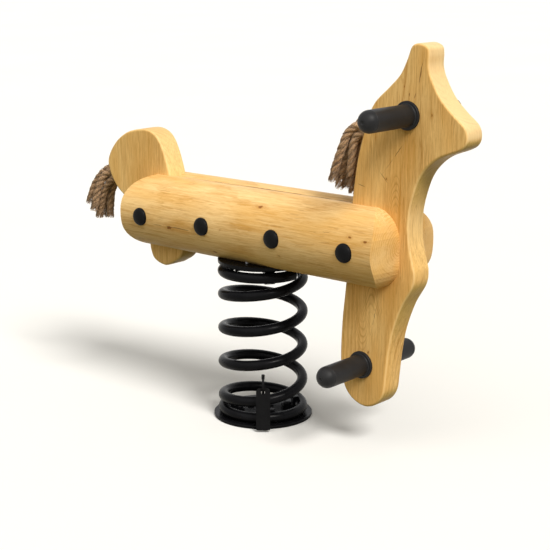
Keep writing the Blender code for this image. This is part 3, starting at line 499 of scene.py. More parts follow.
@group("Place", "Ring Wander Contrast Bias Flecks Streaks End", "Light Dark Warm")
def wood_grain(n: Nodes, given: Any) -> Sockets:
    """Draw year rings, streaks and fibres along X.

    Args:
        n: The group's nodes.
        given: Its inputs.

    Returns:
        Its outputs, by name.
    """
    place, end = given["Place"], given["End"]
    ripple = n.sway(place, (24.0, 90.0, 90.0), 3.0)
    rings = n.moved(place, n.sway(place, (1.6, 8.0, 8.0), 2.0), given["Wander"])
    rings = n.moved(rings, ripple, (0.0, 0.0045, 0.0045))
    radius = n.vector("LENGTH", n.vector("MULTIPLY", rings, (0.0, 1.0, 1.0)))
    phase = n.math("DIVIDE", radius, given["Ring"])
    wave = n.math("FRACT", phase)
    ring = n.times(
        n.soft(wave, 0.50, 0.94), n.remap(wave, 0.94, 1.0, 1.0, 0.0),
        n.remap(n.by_number(phase, 0.73, 1.0), 0.35, 0.65, 0.2, 1.0),
        n.remap(n.noise(place, (9.0, 30.0, 30.0)), 0.38, 0.62, 0.15, 1.0),
        n.plus(1.0, n.times(end, 0.8)),
    )
    swayed = n.moved(place, ripple, (0.0, 0.006, 0.006))
    streak = n.noise(swayed, (4.5, 170.0, 170.0), 6.0, 0.72)
    chatter = n.noise(swayed, (14.0, 400.0, 400.0), 3.0, 0.7)
    fibre = n.noise(place, (50.0, 1500.0, 1500.0))
    side = n.math("SUBTRACT", 1.0, n.times(end, 0.62))
    where = n.remap(n.noise(place, (4.0, 16.0, 16.0)), 0.36, 0.64, 0.25, 1.0)
    tone = n.plus(
        n.times(ring, given["Contrast"]),
        n.times(n.soft(streak, 0.44, 0.78, -0.06, 1.0), where, side, given["Streaks"]),
        n.times(n.remap(chatter, 0.28, 0.72, -0.44, 0.44), side),
        n.remap(n.noise(place, (5.0, 13.0, 13.0), 3.0), 0.25, 0.75, -0.26, 0.26),
        n.remap(fibre, 0.3, 0.7, -0.14, 0.14),
        n.times(end, 0.20),
    )
    tone = n.math("ADD", tone, given["Bias"], clamp=True)
    dash = n.times(n.soft(n.noise(swayed, (24.0, 330.0, 330.0)), 0.57, 0.68),
                   n.remap(n.noise(place, (11.0, 24.0, 24.0)), 0.38, 0.58), side)
    warm = n.remap(n.noise(place, (6.0, 20.0, 20.0)), 0.42, 0.68, 0.0, 0.5)
    colour = n.mix(warm, n.mix(tone, given["Light"], given["Dark"]), given["Warm"])
    return {
        "Colour": n.mix(n.times(dash, given["Flecks"]), colour, (0.40, 0.165, 0.030)),
        "Height": n.plus(n.times(fibre, 0.5), n.times(ring, 0.3), n.times(dash, -0.8),
                         n.times(chatter, 0.4)),
        "Roughness": n.remap(streak, 0.3, 0.7, 0.38, 0.54),
    }


@group("Place Centre Squeeze", "Size")
def knot_rings(n: Nodes, given: Any) -> Sockets:
    """Draw one knot's core and the rings round it.

    Args:
        n: The group's nodes.
        given: Its inputs.

    Returns:
        Its outputs, by name.
    """
    apart = n.vector("SUBTRACT", given["Place"], given["Centre"])
    reach = n.vector("LENGTH", n.vector("MULTIPLY", apart, given["Squeeze"]))
    shake = n.math("SUBTRACT", n.noise(given["Place"], (160.0, 160.0, 160.0)), 0.5)
    share = n.math("DIVIDE", n.plus(reach, n.times(shake, 0.006)), given["Size"])
    rings = n.remap(n.math("SINE", n.times(share, 9.0)), -1.0, 1.0, 0.35, 1.0)
    return {"Core": n.soft(share, 0.45, 1.0, 1.0, 0.0),
            "Halo": n.times(rings, n.soft(share, 0.8, 3.2, 1.0, 0.0))}


@group("Place Centre", "Length Width Slope")
def crack_or_seam_shade_line(n: Nodes, given: Any) -> Sockets:
    """Draw one thin dark line along X, used where the wood cracked in drying and for painted shade
    in the valley between the logs.

    Args:
        n: The group's nodes.
        given: Its inputs.

    Returns:
        Its outputs, by name.
    """
    apart = n.vector("SUBTRACT", given["Place"], given["Centre"])
    sway = n.sway(given["Place"], (30.0, 8.0, 8.0), 3.0)
    x, y, z = n.split(n.moved(apart, sway, (0.0, 0.006, 0.006)))
    share = n.math("DIVIDE", n.math("ABSOLUTE", x), given["Length"])
    width = n.times(n.remap(share, 0.0, 1.0, 1.0, 0.0), given["Width"])
    y = n.math("SUBTRACT", y, n.times(x, given["Slope"]))
    away = n.vector("LENGTH", n.add("ShaderNodeCombineXYZ", {1: y, 2: z}).outputs[0])
    return {"CrackOrSeamShade": n.soft(n.math("SUBTRACT", width, away), -0.0003, 0.0004)}


@group("Place Centre", "Bow Spacing")
def arch_lines(n: Nodes, given: Any) -> Sockets:
    """Draw the nested arches of flat-sawn wood, with the grain on X.

    Args:
        n: The group's nodes.
        given: Its inputs.

    Returns:
        Its outputs, by name.
    """
    apart = n.vector("SUBTRACT", given["Place"], given["Centre"])
    sway = n.sway(given["Place"], (18.0, 45.0, 45.0), 3.0)
    x, y, _ = n.split(n.moved(apart, sway, (0.016, 0.010, 0.0)))
    inward = n.math("SIGN", n.times(given["Bow"], -1.0))
    below = n.times(n.plus(x, n.times(y, y, given["Bow"])), inward)
    wave = n.math("FRACT", n.math("DIVIDE", below, given["Spacing"]))
    return {"Arches": n.times(
        n.soft(wave, 0.45, 0.92), n.remap(wave, 0.92, 1.0, 1.0, 0.0),
        n.soft(below, -0.012, 0.004), n.remap(below, 0.035, 0.070, 1.0, 0.0),
        n.soft(n.math("ABSOLUTE", y), 0.016, 0.034, 1.0, 0.0))}


@group("Place", "Grain Dust")
def fine_surface(n: Nodes, given: Any) -> Sockets:
    """Draw the grain and dust of a moulded or coated surface.

    Args:
        n: The group's nodes.
        given: Its inputs.

    Returns:
        Its outputs, by name.
    """
    place = given["Place"]
    grain = {"Vector": place, "Scale": given["Grain"], "Detail": 2.0}
    slow = n.times(n.noise(place, (1.0, 1.0, 1.0), 3.0), 0.1)
    broad = n.noise(place, (28.0, 28.0, 28.0), 3.0)
    marks = n.noise(place, (9.0, 140.0, 60.0), 3.0)
    up = n.split(n.add("ShaderNodeNewGeometry").outputs["Normal"])[2]
    tone = n.plus(n.remap(broad, 0.3, 0.7, -1.0, 1.0), n.remap(marks, 0.4, 0.6, -0.4, 0.4))
    return {
        "Height": n.plus(n.add("ShaderNodeTexNoise", grain).outputs["Fac"], slow),
        "Dust": n.times(n.remap(up, 0.2, 1.0), n.remap(broad, 0.42, 0.75), given["Dust"]),
        "Tone": n.times(tone, 0.5),
    }


# Finishes


@dataclass(frozen=True)
class Finish:
    """A finish that makes a material with a Principled shader."""

    name: str

    def sockets(self, n: Nodes, place: Socket) -> Sockets:
        """Return links and values for the shader's sockets."""
        raise NotImplementedError

    def material(self) -> bpy.types.Material:
        """Make the material.

        Returns:
            The new material.
        """
        mat = bpy.data.materials.new(self.name)
        mat.use_nodes = True
        n = Nodes(mat.node_tree)
        n.feed(mat.node_tree.nodes["Principled BSDF"], self.sockets(n, n.coords("Object")))
        return mat


@dataclass(frozen=True)
class Knot:
    """A knot in a piece of wood."""

    centre: Point  # where it is, in metres
    size: float
    squeeze: Point  # how much each axis is squeezed


@dataclass(frozen=True)
class CrackOrSeamShade:
    """A thin dark line along the grain. Most mark where the wood cracked in drying; the long one on
    top of each log is painted shade in the valley between the logs.
    """

    centre: Point  # its middle, in metres
    length: float  # half its length, in metres
    width: float  # half its width at the middle, in metres
    slope: float = 0.0  # how far it leans from the grain


@dataclass(frozen=True)
class Arch:
    """Nested arches of year rings on a flat-sawn face."""

    centre: Point  # the outermost arch's top, in metres
    bow: float  # how narrow they are; its sign says which way they open
    spacing: float  # how far they stand apart, in metres


@dataclass(frozen=True)
class WoodFinish(Finish):
    """Sanded and oiled wood."""

    grain_up: bool = False  # whether the grain runs along Z in place of X
    pith: Point = (0.0, 0.0, 0.0)  # where the centre of the year rings lies
    ring: float = 0.006  # distance between year rings
    wander: float = 0.03  # how far the rings wander
    contrast: float = 0.6
    bias: float = 0.27  # how dark it is on the whole
    flecks: float = 0.34  # strength of the short dark dashes
    streaks: float = 0.70  # strength of the streaks along the grain
    rim: float = 0.0  # strength of the painted highlight on the upper rims; when set, the boards also get painted shade on down-facing rims and a painted highlight along their rounded edges
    light: Colour = (0.92, 0.635, 0.290)
    dark: Colour = (0.62, 0.325, 0.085)
    warm: Colour = (0.80, 0.44, 0.11)  # colour of the warmer patches
    knots: tuple[Knot, ...] = ()
    # dark lines: where the wood cracked in drying, and on the logs painted shade in the valley
    # between them
    cracks_and_seam_shade: tuple[CrackOrSeamShade, ...] = ()
    arches: tuple[Arch, ...] = ()

    def sockets(self, n: Nodes, place: Socket) -> Sockets:
        """Return links and values for the shader's sockets.

        Args:
            n: The material's nodes.
            place: The piece's own coordinates.

        Returns:
            The sockets' links and values, by name.
        """
        axes = (2, 0, 1) if self.grain_up else (0, 1, 2)
        parts, facing = n.split(place), n.split(n.coords("Normal"))
        inputs = {index: parts[axis] for index, axis in enumerate(axes)}
        along = n.add("ShaderNodeCombineXYZ", inputs).outputs[0]

        def lie(point: Point) -> Point:
            """Return a point with the grain's axis first."""
            return tuple(point[axis] for axis in axes)

        def draw(tree: Tree, at: Socket, mark: Any, centre: Point) -> Any:
            """Return the outputs of a mark's group, fed from its fields."""
            fields = {label.title(): value for label, value in vars(mark).items()}
            return n.use(tree, fields | {"Place": at, "Centre": centre})

        labels = "Ring Wander Contrast Bias Flecks Streaks Light Dark Warm".split()
        grain = n.use(wood_grain(), {label: getattr(self, label.lower()) for label in labels} | {
            "Place": n.vector("SUBTRACT", along, lie(self.pith)),
            "End": n.soft(n.math("ABSOLUTE", facing[axes[0]]), 0.45, 0.90),
        })
        colour, height = grain["Colour"], grain["Height"]
        for arch in self.arches:
            drawn = draw(arch_lines(), along, arch, lie(arch.centre))["Arches"]
            colour = n.mix(n.times(drawn, 0.55), colour, (0.50, 0.235, 0.045))
        for knot in self.knots:
            drawn = draw(knot_rings(), place, knot, knot.centre)
            colour = n.mix(n.times(drawn["Halo"], 0.55), colour, (0.56, 0.25, 0.05))
            colour = n.mix(n.times(drawn["Core"], 0.9), colour, (0.24, 0.085, 0.018))
        # Dark, sunken lines where the wood cracked; the long line on top of each log is painted
        # shade in the valley between the logs
        for crack_or_seam_shade in self.cracks_and_seam_shade:
            drawn = draw(crack_or_seam_shade_line(), along, crack_or_seam_shade, lie(crack_or_seam_shade.centre))["CrackOrSeamShade"]
            colour = n.mix(n.times(drawn, 0.78), colour, (0.17, 0.055, 0.012))
            height = n.plus(height, n.times(drawn, -2.0))
        if self.rim:
            across = n.math("ABSOLUTE", facing[1])
            # Painted shade on the down-facing rims
            below = n.times(n.soft(facing[2], -0.45, -0.10, 1.0, 0.0), 0.6)
            # Painted highlight on the rims, stronger higher up, none on the faces or on down-facing
            # rims
            painted_rim_highlight = n.times(n.soft(across, 0.25, 0.85, self.rim, 0.0), n.soft(parts[2], 0.36, 0.56),
                           n.soft(facing[2], -0.35, 0.05), 0.8)
            # Painted highlight along the rounded edges between faces and rims
            edge = n.times(n.soft(across, 0.10, 0.45), n.soft(across, 0.80, 0.99, 1.0, 0.0), 0.45)
            colour = n.mix(below, colour, (0.52, 0.36, 0.075))
            colour = n.mix(painted_rim_highlight, colour, (0.93, 0.72, 0.42))
            colour = n.mix(edge, colour, (0.97, 0.68, 0.33))
        return {"Base Color": colour, "Roughness": grain["Roughness"], "Specular IOR Level": 0.10,
                "Normal": n.bump(height, 0.35, 0.0004)}


@dataclass(frozen=True)
class BlackFinish(Finish):
    """Black moulded plastic or powder coat."""

    colour: Colour = (0.0050, 0.0050, 0.0056)
    roughness: float = 0.45
    grain: float = 900.0  # how fine the surface grain is
    depth: float = 0.00006  # depth of the grain in metres
    dust: float = 0.15  # how much dust lies on top
    shine: float = 0.05  # level of its mirror-like share

    def sockets(self, n: Nodes, place: Socket) -> Sockets:
        """Return links and values for the shader's sockets.

        Args:
            n: The material's nodes.
            place: The piece's own coordinates.

        Returns:
            The sockets' links and values, by name.
        """
        inputs = {"Place": place, "Grain": self.grain, "Dust": self.dust}
        height, dust, tone = n.use(fine_surface(), inputs)
        lighter = tuple(min(1.0, value * 1.5 + 0.001) for value in self.colour)
        base = n.mix(n.remap(tone, -0.6, 0.6), self.colour, lighter)
        rough = n.plus(n.times(tone, 0.06), self.roughness)
        return {
            "Base Color": n.mix(n.times(dust, 0.2), base, (0.10, 0.09, 0.08)),
            "Roughness": n.math("ADD", rough, n.times(dust, 0.3), clamp=True),
            "Specular IOR Level": self.shine,
            "Normal": n.bump(height, 0.5, self.depth),
        }


@dataclass(frozen=True)
class ZincFinish(Finish):
    """Zinc-plated steel."""

    colour: Colour = (0.56, 0.57, 0.58)

    def sockets(self, n: Nodes, place: Socket) -> Sockets:
        """Return links and values for the shader's sockets.

        Args:
            n: The material's nodes.
            place: The piece's own coordinates.

        Returns:
            The sockets' links and values, by name.
        """
        fine = n.use(fine_surface(), {"Place": place, "Grain": 500.0, "Dust": 0.4})
        duller = tuple(value * 0.72 for value in self.colour)
        return {
            "Base Color": n.mix(n.remap(fine["Tone"], -0.6, 0.6), duller, self.colour),
            "Roughness": n.remap(fine["Tone"], -0.6, 0.6, 0.28, 0.45),
            "Metallic": 1.0,
            "Normal": n.bump(fine["Height"], 0.3, 0.00005),
        }


@dataclass(frozen=True)
class RopeFinish(Finish):
    """Brown twisted rope; the yarns come from the pieces' own texture places."""

    light: Colour = (0.80, 0.51, 0.285)  # colour of the yarns' tops
    dark: Colour = (0.13, 0.066, 0.030)  # painted shade in the grooves between the yarns
    yarns: float = 7.0  # how many yarns show round a strand

    def sockets(self, n: Nodes, place: Socket) -> Sockets:
        """Return links and values for the shader's sockets.

        Args:
            n: The material's nodes.
            place: The piece's own coordinates.

        Returns:
            The sockets' links and values, by name.
        """
        u, v, _ = n.split(n.coords("UV"))
        fuzz = n.noise(place, (520.0, 520.0, 520.0), 3.0, 0.65)
        phase = n.plus(n.times(u, self.yarns), n.times(v, -1.0), n.times(fuzz, 0.35))
        wave = n.remap(n.math("SINE", n.times(phase, FULL_TURN)), -1.0, 1.0)
        # The yarns' stripes paint shade in the grooves between them; the loose yarns take a tone of
        # their own
        laid = n.math("ADD", n.times(wave, 0.55), n.remap(fuzz, 0.3, 0.7, -0.15, 0.60), clamp=True)
        own = n.remap(n.by_number(u, 3.7, 0.0), 0.3, 0.7, 0.10, 1.0)
        yarn = n.plus(own, n.remap(fuzz, 0.3, 0.7, -0.3, 0.25))
        loose = n.math("GREATER_THAN", u, LOOSE_FROM / 2)
        tone = n.math("ADD", n.times(laid, n.math("SUBTRACT", 1.0, loose)), n.times(yarn, loose),
                      clamp=True)
        broad = n.remap(n.noise(place, (26.0, 26.0, 26.0), 3.0), 0.4, 0.7, 0.0, 0.25)
        return {
            "Base Color": n.mix(broad, n.mix(tone, self.dark, self.light), (0.50, 0.34, 0.22)),
            "Roughness": n.remap(fuzz, 0.3, 0.7, 0.82, 0.95),
            "Specular IOR Level": 0.2,
            "Sheen Weight": 0.25,
            "Sheen Roughness": 0.5,
            "Normal": n.bump(n.plus(wave, fuzz), 0.8, 0.0006),
        }


@dataclass(frozen=True)
class FloorFinish(Finish):
    """Plain floor: pale to the camera, and darker in the light that it throws back."""

    thrown: Colour = (0.105, 0.10, 0.028)  # colour of the light that it throws back

    def sockets(self, n: Nodes, place: Socket) -> Sockets:
        """Return links and values for the shader's sockets.

        Args:
            n: The material's nodes.
            place: The piece's own coordinates.

        Returns:
            The sockets' links and values, by name.
        """
        pale = n.mix(n.noise(place, (1.2, 1.2, 1.2), 3.0), (0.86, 0.86, 0.85), (0.90, 0.90, 0.89))
        base = n.mix(n.shown(), self.thrown, pale)
        return {"Base Color": base, "Roughness": 0.95, "Specular IOR Level": 0.2}


# Studio


@dataclass
class Studio:
    """Camera, lamps, floor and background."""

    eye: Point = (1.7919, -2.0559, 0.9497)  # where the camera stands
    yaw: float = -40.563  # its heading, in degrees from +Y towards +X
    pitch: float = 13.583  # how far it looks down, in degrees
    lens: float = 91.64
    sensor: float = 36.0  # width of the sensor in mm
    sky_low: float = 0.10  # strength of the sky at the horizon
    sky_high: float = 0.38  # its strength overhead
    half_floor: float = 80.0  # half the floor's side
    floor_level: float = -0.0002  # height of the floor, a hair below the base plate

    def camera(self) -> None:
        """Put the camera where the photograph was taken from."""
        data = bpy.data.cameras.new("view")
        data.lens, data.sensor_width = self.lens, self.sensor
        data.clip_start, data.clip_end = 0.05, 200.0
        cam = put("view", data)
        yaw, pitch = math.radians(self.yaw), math.radians(self.pitch)
        level = math.cos(pitch)
        ahead = Vector((math.sin(yaw) * level, math.cos(yaw) * level, -math.sin(pitch)))
        cam.location = self.eye
        cam.rotation_euler = ahead.to_track_quat("-Z", "Y").to_euler()
        bpy.context.scene.camera = cam

    def lamp(self, name: str, place: Point, width: float, power: float, colour: Colour) -> None:
        """Add a distant soft lamp that looks at the middle of the object.

        Args:
            name: The lamp's name.
            place: The direction that it shines from.
            width: How wide it looks, in degrees.
            power: Its strength.
            colour: Its colour.
        """
        data = bpy.data.lights.new(name, "SUN")
        data.angle, data.energy, data.color = math.radians(width), power, colour
        lamp = put(name, data)
        lamp.location = place
        lamp.rotation_euler = (-Vector(place)).to_track_quat("-Z", "Y").to_euler()

    def world(self) -> None:
        """Give a plain sky that shows as white."""
        world = bpy.data.worlds.new("sky")
        world.use_nodes = True
        bpy.context.scene.world = world
        n = Nodes(world.node_tree)
        shown = n.shown()
        up = n.split(n.coords("Generated"))[2]
        sky = n.soft(up, -0.1, 0.9, self.sky_low, self.sky_high)
        tint = n.mix(n.remap(up, 0.0, 0.5), (1.0, 0.97, 0.62), (1.0, 0.96, 0.88))
        n.feed(world.node_tree.nodes["Background"], {
            "Strength": n.plus(n.times(shown, n.math("SUBTRACT", 1.0, sky)), sky),
            "Color": n.mix(shown, tint, (1.0, 1.0, 1.0)),
        })

    def floor(self) -> None:
        """Lay a plain pale floor, wide enough that its edge doesn't show."""
        corners = [(0.0, 0.0), (1.0, 0.0), (1.0, 1.0), (0.0, 1.0)]
        verts = [((2 * u - 1) * self.half_floor, (2 * v - 1) * self.half_floor, self.floor_level)
                 for u, v in corners]
        floor = MeshParts(verts, [range(4)], [corners]).build("floor", SMOOTH_DEGREES)
        dress(floor, FloorFinish("floor").material())

    def build(self) -> None:
        """Build the whole studio."""
        self.camera()
        self.world()
        self.floor()
        self.lamp("key", (2.36, -0.81, 2.59), 22.0, 2.78, (1.0, 0.97, 0.92))
        self.lamp("fill", (0.77, -2.38, 2.59), 80.0, 1.24, (1.0, 0.975, 0.93))
        bpy.context.scene.view_settings.view_transform = "Standard"
        LOG.info("studio built")


# Pieces


def dress(obj: Piece, mat: bpy.types.Material) -> None:
    """Give an object one material.

    Args:
        obj: The object.
        mat: The material.
    """
    obj.data.materials.clear()
    obj.data.materials.append(mat)
    LOG.info("dressed %s", obj.name)


def ride(obj: Piece, body: Body, slot: Slot, *nodes: str) -> None:
    """Let a piece ride on a body and stand for CAD nodes.

    Args:
        obj: The piece.
        body: The body it moves with.
        slot: Not used.
        *nodes: The CAD nodes that it stands for.
    """
    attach(obj, body.value)
    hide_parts(*nodes)
    LOG.info("piece %s rides on %s", obj.name, body.value)


@dataclass(frozen=True)
class Tufts:
    """Yarns that leave a rope's strands and stand out from them."""

    count: int  # how many there are
    share: Pair  # where along the line they start, as shares of it
    run: Pair  # their least and greatest length
    thick: Pair  # their least and greatest radius


@dataclass
class RopeBundle:
    """Ropes that come out of one bore in a board."""

    kind: str
    routes: tuple[tuple[Point, ...], ...]  # each rope's centre line points
    seed: int
    radius: float = 0.0067
    lay: float = 0.050  # length of one full twist
    step: float = 0.0017  # distance between the centre line's points
    ragged: float = 0.018  # how far the strands end before their yarns
    in_bore: float = 0.027  # how far from its start a rope leaves the bore
    core: float = 0.58  # how far the strands lie from the centre line, as a share of the radius
    thick: float = 0.66  # radius of a strand, as a share of the radius
    # Its loose yarns, from long ones to short ones
    tufts: tuple[Tufts, ...] = (
        Tufts(150, (0.30, 0.86), (0.012, 0.026), (0.0006, 0.0012)),
        Tufts(60, (0.78, 0.96), (0.020, 0.034), (0.0006, 0.0011)),
        Tufts(110, (0.08, 0.85), (0.008, 0.014), (0.0003, 0.0006)),
    )

    def strands(self, parts: MeshParts, line: np.ndarray, keep: int, first_turn: float) -> None:
        """Add the three laid strands of one rope.

        Args:
            parts: Takes the faces.
            line: The rope's centre line.
            keep: How many points of the line the strands follow.
            first_turn: Where the twist starts, in radians.
        """
        first, second = line_frames(line)
        along = run_of(line)
        angles = circle(12)[:, None]
        for strand in range(3):
            turn = first_turn + strand * FULL_TURN / 3 + FULL_TURN * along / self.lay
            out = first * np.cos(turn)[:, None] + second * np.sin(turn)[:, None]
            middle = line + out * self.radius * self.core
            across = np.cross(unit(np.gradient(middle, axis=0)), out)
            rows = []
            for k in range(keep):
                fade = 1.0 - 0.22 * max(0.0, k / keep - 0.55) - 0.16 * max(0, k - keep + 4)
                ring = np.cos(angles) * out[k] * 1.02 + np.sin(angles) * across[k]
                rows.append(middle[k] + self.radius * self.thick * fade * ring)
            parts.rings(rows, span=float(along[keep - 1]) * 220.0)

    def loosen(self, parts: MeshParts, line: np.ndarray, tufts: Tufts, dice: random.Random) -> None:
        """Add loose yarns.

        Args:
            parts: Takes the faces.
            line: The rope's centre line.
            tufts: Says where they are, how many and how large.
            dice: Source of their scatter.
        """
        first, second = line_frames(line)
        step = float(np.linalg.norm(line[1] - line[0]))
        begin, end = tufts.share
        for tuft in range(tufts.count):
            share = begin + (end - begin) * (tuft + dice.random()) / tufts.count
            start = round((len(line) - 1) * share)
            stop = min(len(line) - 1, start + max(4, round(dice.uniform(*tufts.run) / step)))
            start = min(start, stop - 4)
            turn = dice.uniform(0.0, FULL_TURN)
            twist = FULL_TURN * step / self.lay * dice.uniform(0.3, 1.2)
            low = self.radius * dice.uniform(0.55, 1.0)
            high = self.radius * dice.uniform(1.05, 1.34)
            width = dice.uniform(*tufts.thick)
            rows = []
            for k in range(start, stop + 1, 2):
                part = (k - start) / (stop - start)
                spin = turn + twist * (k - start) + 0.25 * math.sin(5.0 * part + turn)
                size = low + (high - low) * part ** 0.8
                centre = line[k] + size * (math.cos(spin) * first[k] + math.sin(spin) * second[k])
                sides = [math.cos(a) * first[k] + math.sin(a) * second[k] for a in circle(4)]
                rows.append(centre + width * (1.0 - 0.65 * part * part) * np.array(sides))
            parts.rings(rows, span=6.0, shift=LOOSE_FROM + dice.uniform(0.0, 8.0))

    def build(self, finish: Finish) -> None:
        """Build and dress every rope of the bundle, and hang it on the rider's body.

        Args:
            finish: The ropes' finish.
        """
        mat = finish.material()
        dice = random.Random(self.seed)
        for index, route in enumerate(self.routes, 1):
            name = f"{self.kind}_rope_{index}"
            line = even_line(smooth_line(route, 8), self.step)
            parts = MeshParts()
            keep = len(line) - round(self.ragged / self.step)
            self.strands(parts, line, keep, dice.uniform(0, 6.28))
            for tufts in self.tufts:
                self.loosen(parts, line, tufts, dice)
            rope = parts.build(f"{name}_laid", 60.0)
            dress(rope, mat)
            ride(rope, Body.RIDER, Slot.ROPE, name)


@dataclass
class CoilSpring:
    """The coil spring, in three stretches."""

    coil: float = 0.0801  # radius of the coil at the wire's centre
    wire: float = 0.0105
    # Rises of the wire over the base ring, a quarter turn apart, from a quarter turn back
    rises: tuple[float, ...] = (
        0.0, 0.0, 0.0, 0.0017, 0.0137, 0.0252, 0.0362, 0.0598, 0.0825, 0.0963, 0.1108, 0.1310,
        0.1517, 0.1669, 0.1805, 0.2010, 0.2208, 0.2367, 0.2525, 0.2702, 0.2807, 0.2850, 0.2862,
        0.2867,
    )
    ring_height: float = 0.0168  # height of the base ring's centre
    first: float = -0.0706  # turn at which the wire starts
    last: float = 5.384  # turn at which it ends
    zero: float = 220.6  # azimuth of turn 0, in degrees
    cuts: Pair = (0.060, 0.190)  # heights at which one stretch meets the next
    end_size: float = 0.9  # size of the wire's end faces, as a share of the wire
    end_run: float = 0.001  # length of the bevel round them

    def height(self, turn: float) -> float:
        """Find how high the wire lies.

        Args:
            turn: The turn, counted from the left side of the base ring.

        Returns:
            Height of the wire's centre.
        """
        place = (turn + 0.25) * 4
        index = min(len(self.rises) - 3, max(1, math.floor(place)))
        rise = spline(*self.rises[index - 1:index + 3], min(2.0, place - index))
        return self.ring_height + rise

    def stretch(self, name: str, start: float, stop: float, caps: Ends) -> Piece:
        """Build one stretch of the wire.

        Args:
            name: The piece's name.
            start: First turn.
            stop: Last turn.
            caps: Whether each end is closed.

        Returns:
            The new piece.
        """
        turns = np.linspace(start, stop, max(4, round((stop - start) * 56)) + 1)
        spin = np.radians(self.zero + 360 * turns)
        heights = [self.height(turn) for turn in turns]
        line = np.stack([self.coil * np.cos(spin), self.coil * np.sin(spin), heights], axis=1)
        radial = unit(line * (1.0, 1.0, 0.0))
        slope = unit(np.gradient(line, axis=0))
        up = np.cross(slope, radial)
        angles = circle(24)[:, None]

        def ring(k: int, size: float = 1.0, shift: float = 0.0) -> np.ndarray:
            """Return one ring of the wire's surface."""
            out = np.cos(angles) * radial[k] + np.sin(angles) * up[k]
            return line[k] + self.wire * size * out + slope[k] * shift

        rows = [ring(k) for k in range(len(line))]
        if caps[0]:
            rows.insert(0, ring(0, self.end_size, -self.end_run))
        if caps[1]:
            rows.append(ring(-1, self.end_size, self.end_run))
        parts = MeshParts()
        parts.rings(rows, caps=caps, turn_back=True)
        return parts.build(name, 30.0)

    def build(self, finish: Finish) -> None:
        """Build and dress the three stretches.

        Args:
            finish: The spring's finish.
        """
        mat = finish.material()
        turns = np.linspace(0.5, 4.9, 2000)
        low, high = np.interp(self.cuts, [self.height(turn) for turn in turns], turns)
        plan = (
            ("spring_lower", self.first, low, (True, False), Body.BASE, Body.TURN, 0.024, 0.042),
            ("spring_middle", low, high, (False, False), Body.TURN, Body.SPRING, 0.068, 0.180),
            ("spring_upper", high, self.last, (False, True), Body.SPRING, Body.RIDER, 0.200, 0.286),
        )
        for name, start, stop, caps, below, above, from_z, to_z in plan:
            piece = self.stretch(name, start, stop, caps)
            dress(piece, mat)
            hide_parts("coil_spring")
            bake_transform(piece)
            LOG.info("piece %s bends from %s to %s", name, below.value, above.value)


@dataclass
class Caps:
    """Round caps over the bolt ends."""

    # Where the bolts lie, as (x, height)
    places: tuple[Pair, ...] = (
        (-0.2463, 0.3932), (-0.0741, 0.3953), (0.1076, 0.3953), (0.2802, 0.3935),
    )
    seat: float = 0.0978  # distance of the caps' seats from the middle plane
    radius: float = 0.0180
    dome: float = 0.0110
    edge: float = 0.0012  # rounding of its lower edge
    rim: float = 0.0024  # height of its straight rim

    def profile(self) -> list[Pair]:
        """Draw the turned profile of one cap.

        Returns:
            The profile's points.
        """
        flat = self.radius - self.edge
        points = [(0.0, -0.004), (0.0140, -0.004), (0.0142, 0.0), (flat, 0.0)]
        points += arc((flat, self.edge), self.edge, -60, 0, 3) + [(self.radius, self.rim)]
        for angle in np.radians(np.linspace(4, 90, 16)):
            rise = self.rim + (self.dome - self.rim) * math.sin(angle)
            points.append((self.radius * math.cos(angle), rise))
        return points

    def build(self, finish: Finish) -> None:
        """Build a cap over every bolt end.

        Args:
            finish: The caps' finish.
        """
        mat = finish.material()
        for side, word in ((-1, "right"), (1, "left")):
            for index, (x, height) in enumerate(self.places, 1):
                seat = (x, side * self.seat, height)
                cap = turned(f"domed_cap_{word}_{index}", self.profile(), seat, 56, 50.0)
                dress(cap, mat)
                ride(cap, Body.RIDER, Slot.PLASTIC, f"bolt_cap_{word}_{index}")


@dataclass
class Grips:
    """Moulded grips on the handle and the footrest."""

    radius: float = 0.0205
    flange: float = 0.0263
    flange_thick: float = 0.0055
    face: float = 0.0252  # distance of the flange from the middle plane
    half_board: float = 0.0249  # half the board's thickness
    tip_degrees: float = 76.0  # where the round end turns into the tip's dimple
    # Each grip's name, the bar's x and z, its side and its reach from the board
    plan: tuple[tuple[str, float, float, int, float], ...] = (
        ("handle_grip_right", 0.3626, 0.6424, -1, 0.134),
        ("handle_grip_left", 0.3626, 0.6424, 1, 0.107),
        ("footrest_grip_right", 0.2685, 0.1637, -1, 0.124),
        ("footrest_grip_left", 0.2685, 0.1637, 1, 0.111),
    )

    def profile(self, reach: float) -> list[Pair]:
        """Return the turned profile of a grip.

        Args:
            reach: How far the grip's tip stands from the board.

        Returns:
            The profile's points.
        """
        r, f, t = self.radius, self.flange, self.flange_thick
        centre = reach - (self.face - self.half_board) - r
        seam = centre + 0.0015
        points = [(0.0115, 0.0), (f - 0.0010, 0.0), (f - 0.0003, 0.0003), (f, 0.0010)]
        points += [(f, t * 0.42), (f - 0.0006, t * 0.47), (f - 0.0006, t * 0.53), (f, t * 0.58)]
        points += arc((f - 0.0018, t - 0.0018), 0.0018, 0, 90, 5)
        points += arc((r + 0.0026, t + 0.0026), 0.0026, 270, 180, 5)
        points += [(r + 0.00005, t + 0.012), (r, seam - 0.0010), (r - 0.00045, seam - 0.0003)]
        points += [(r - 0.00045, seam + 0.0002), (r - 0.00008, seam + 0.0008)]
        points += arc((0.0, centre), r, 5, self.tip_degrees, 14)
        tip = points[-1][1]
        points += [(0.0042, tip + 0.0002), (0.0036, tip - 0.0004), (0.0020, tip - 0.0012)]
        return points + [(0.0, tip - 0.0014)]

    def build(self, finish: Finish) -> None:
        """Build the four grips.

        Args:
            finish: Their finish.
        """
        mat = finish.material()
        for name, x, z, side, reach in self.plan:
            seat = (x, side * self.face, z)
            grip = turned(f"{name}_moulded", self.profile(reach), seat, 72, 32.0)
            dress(grip, mat)
            ride(grip, Body.RIDER, Slot.PLASTIC, name)


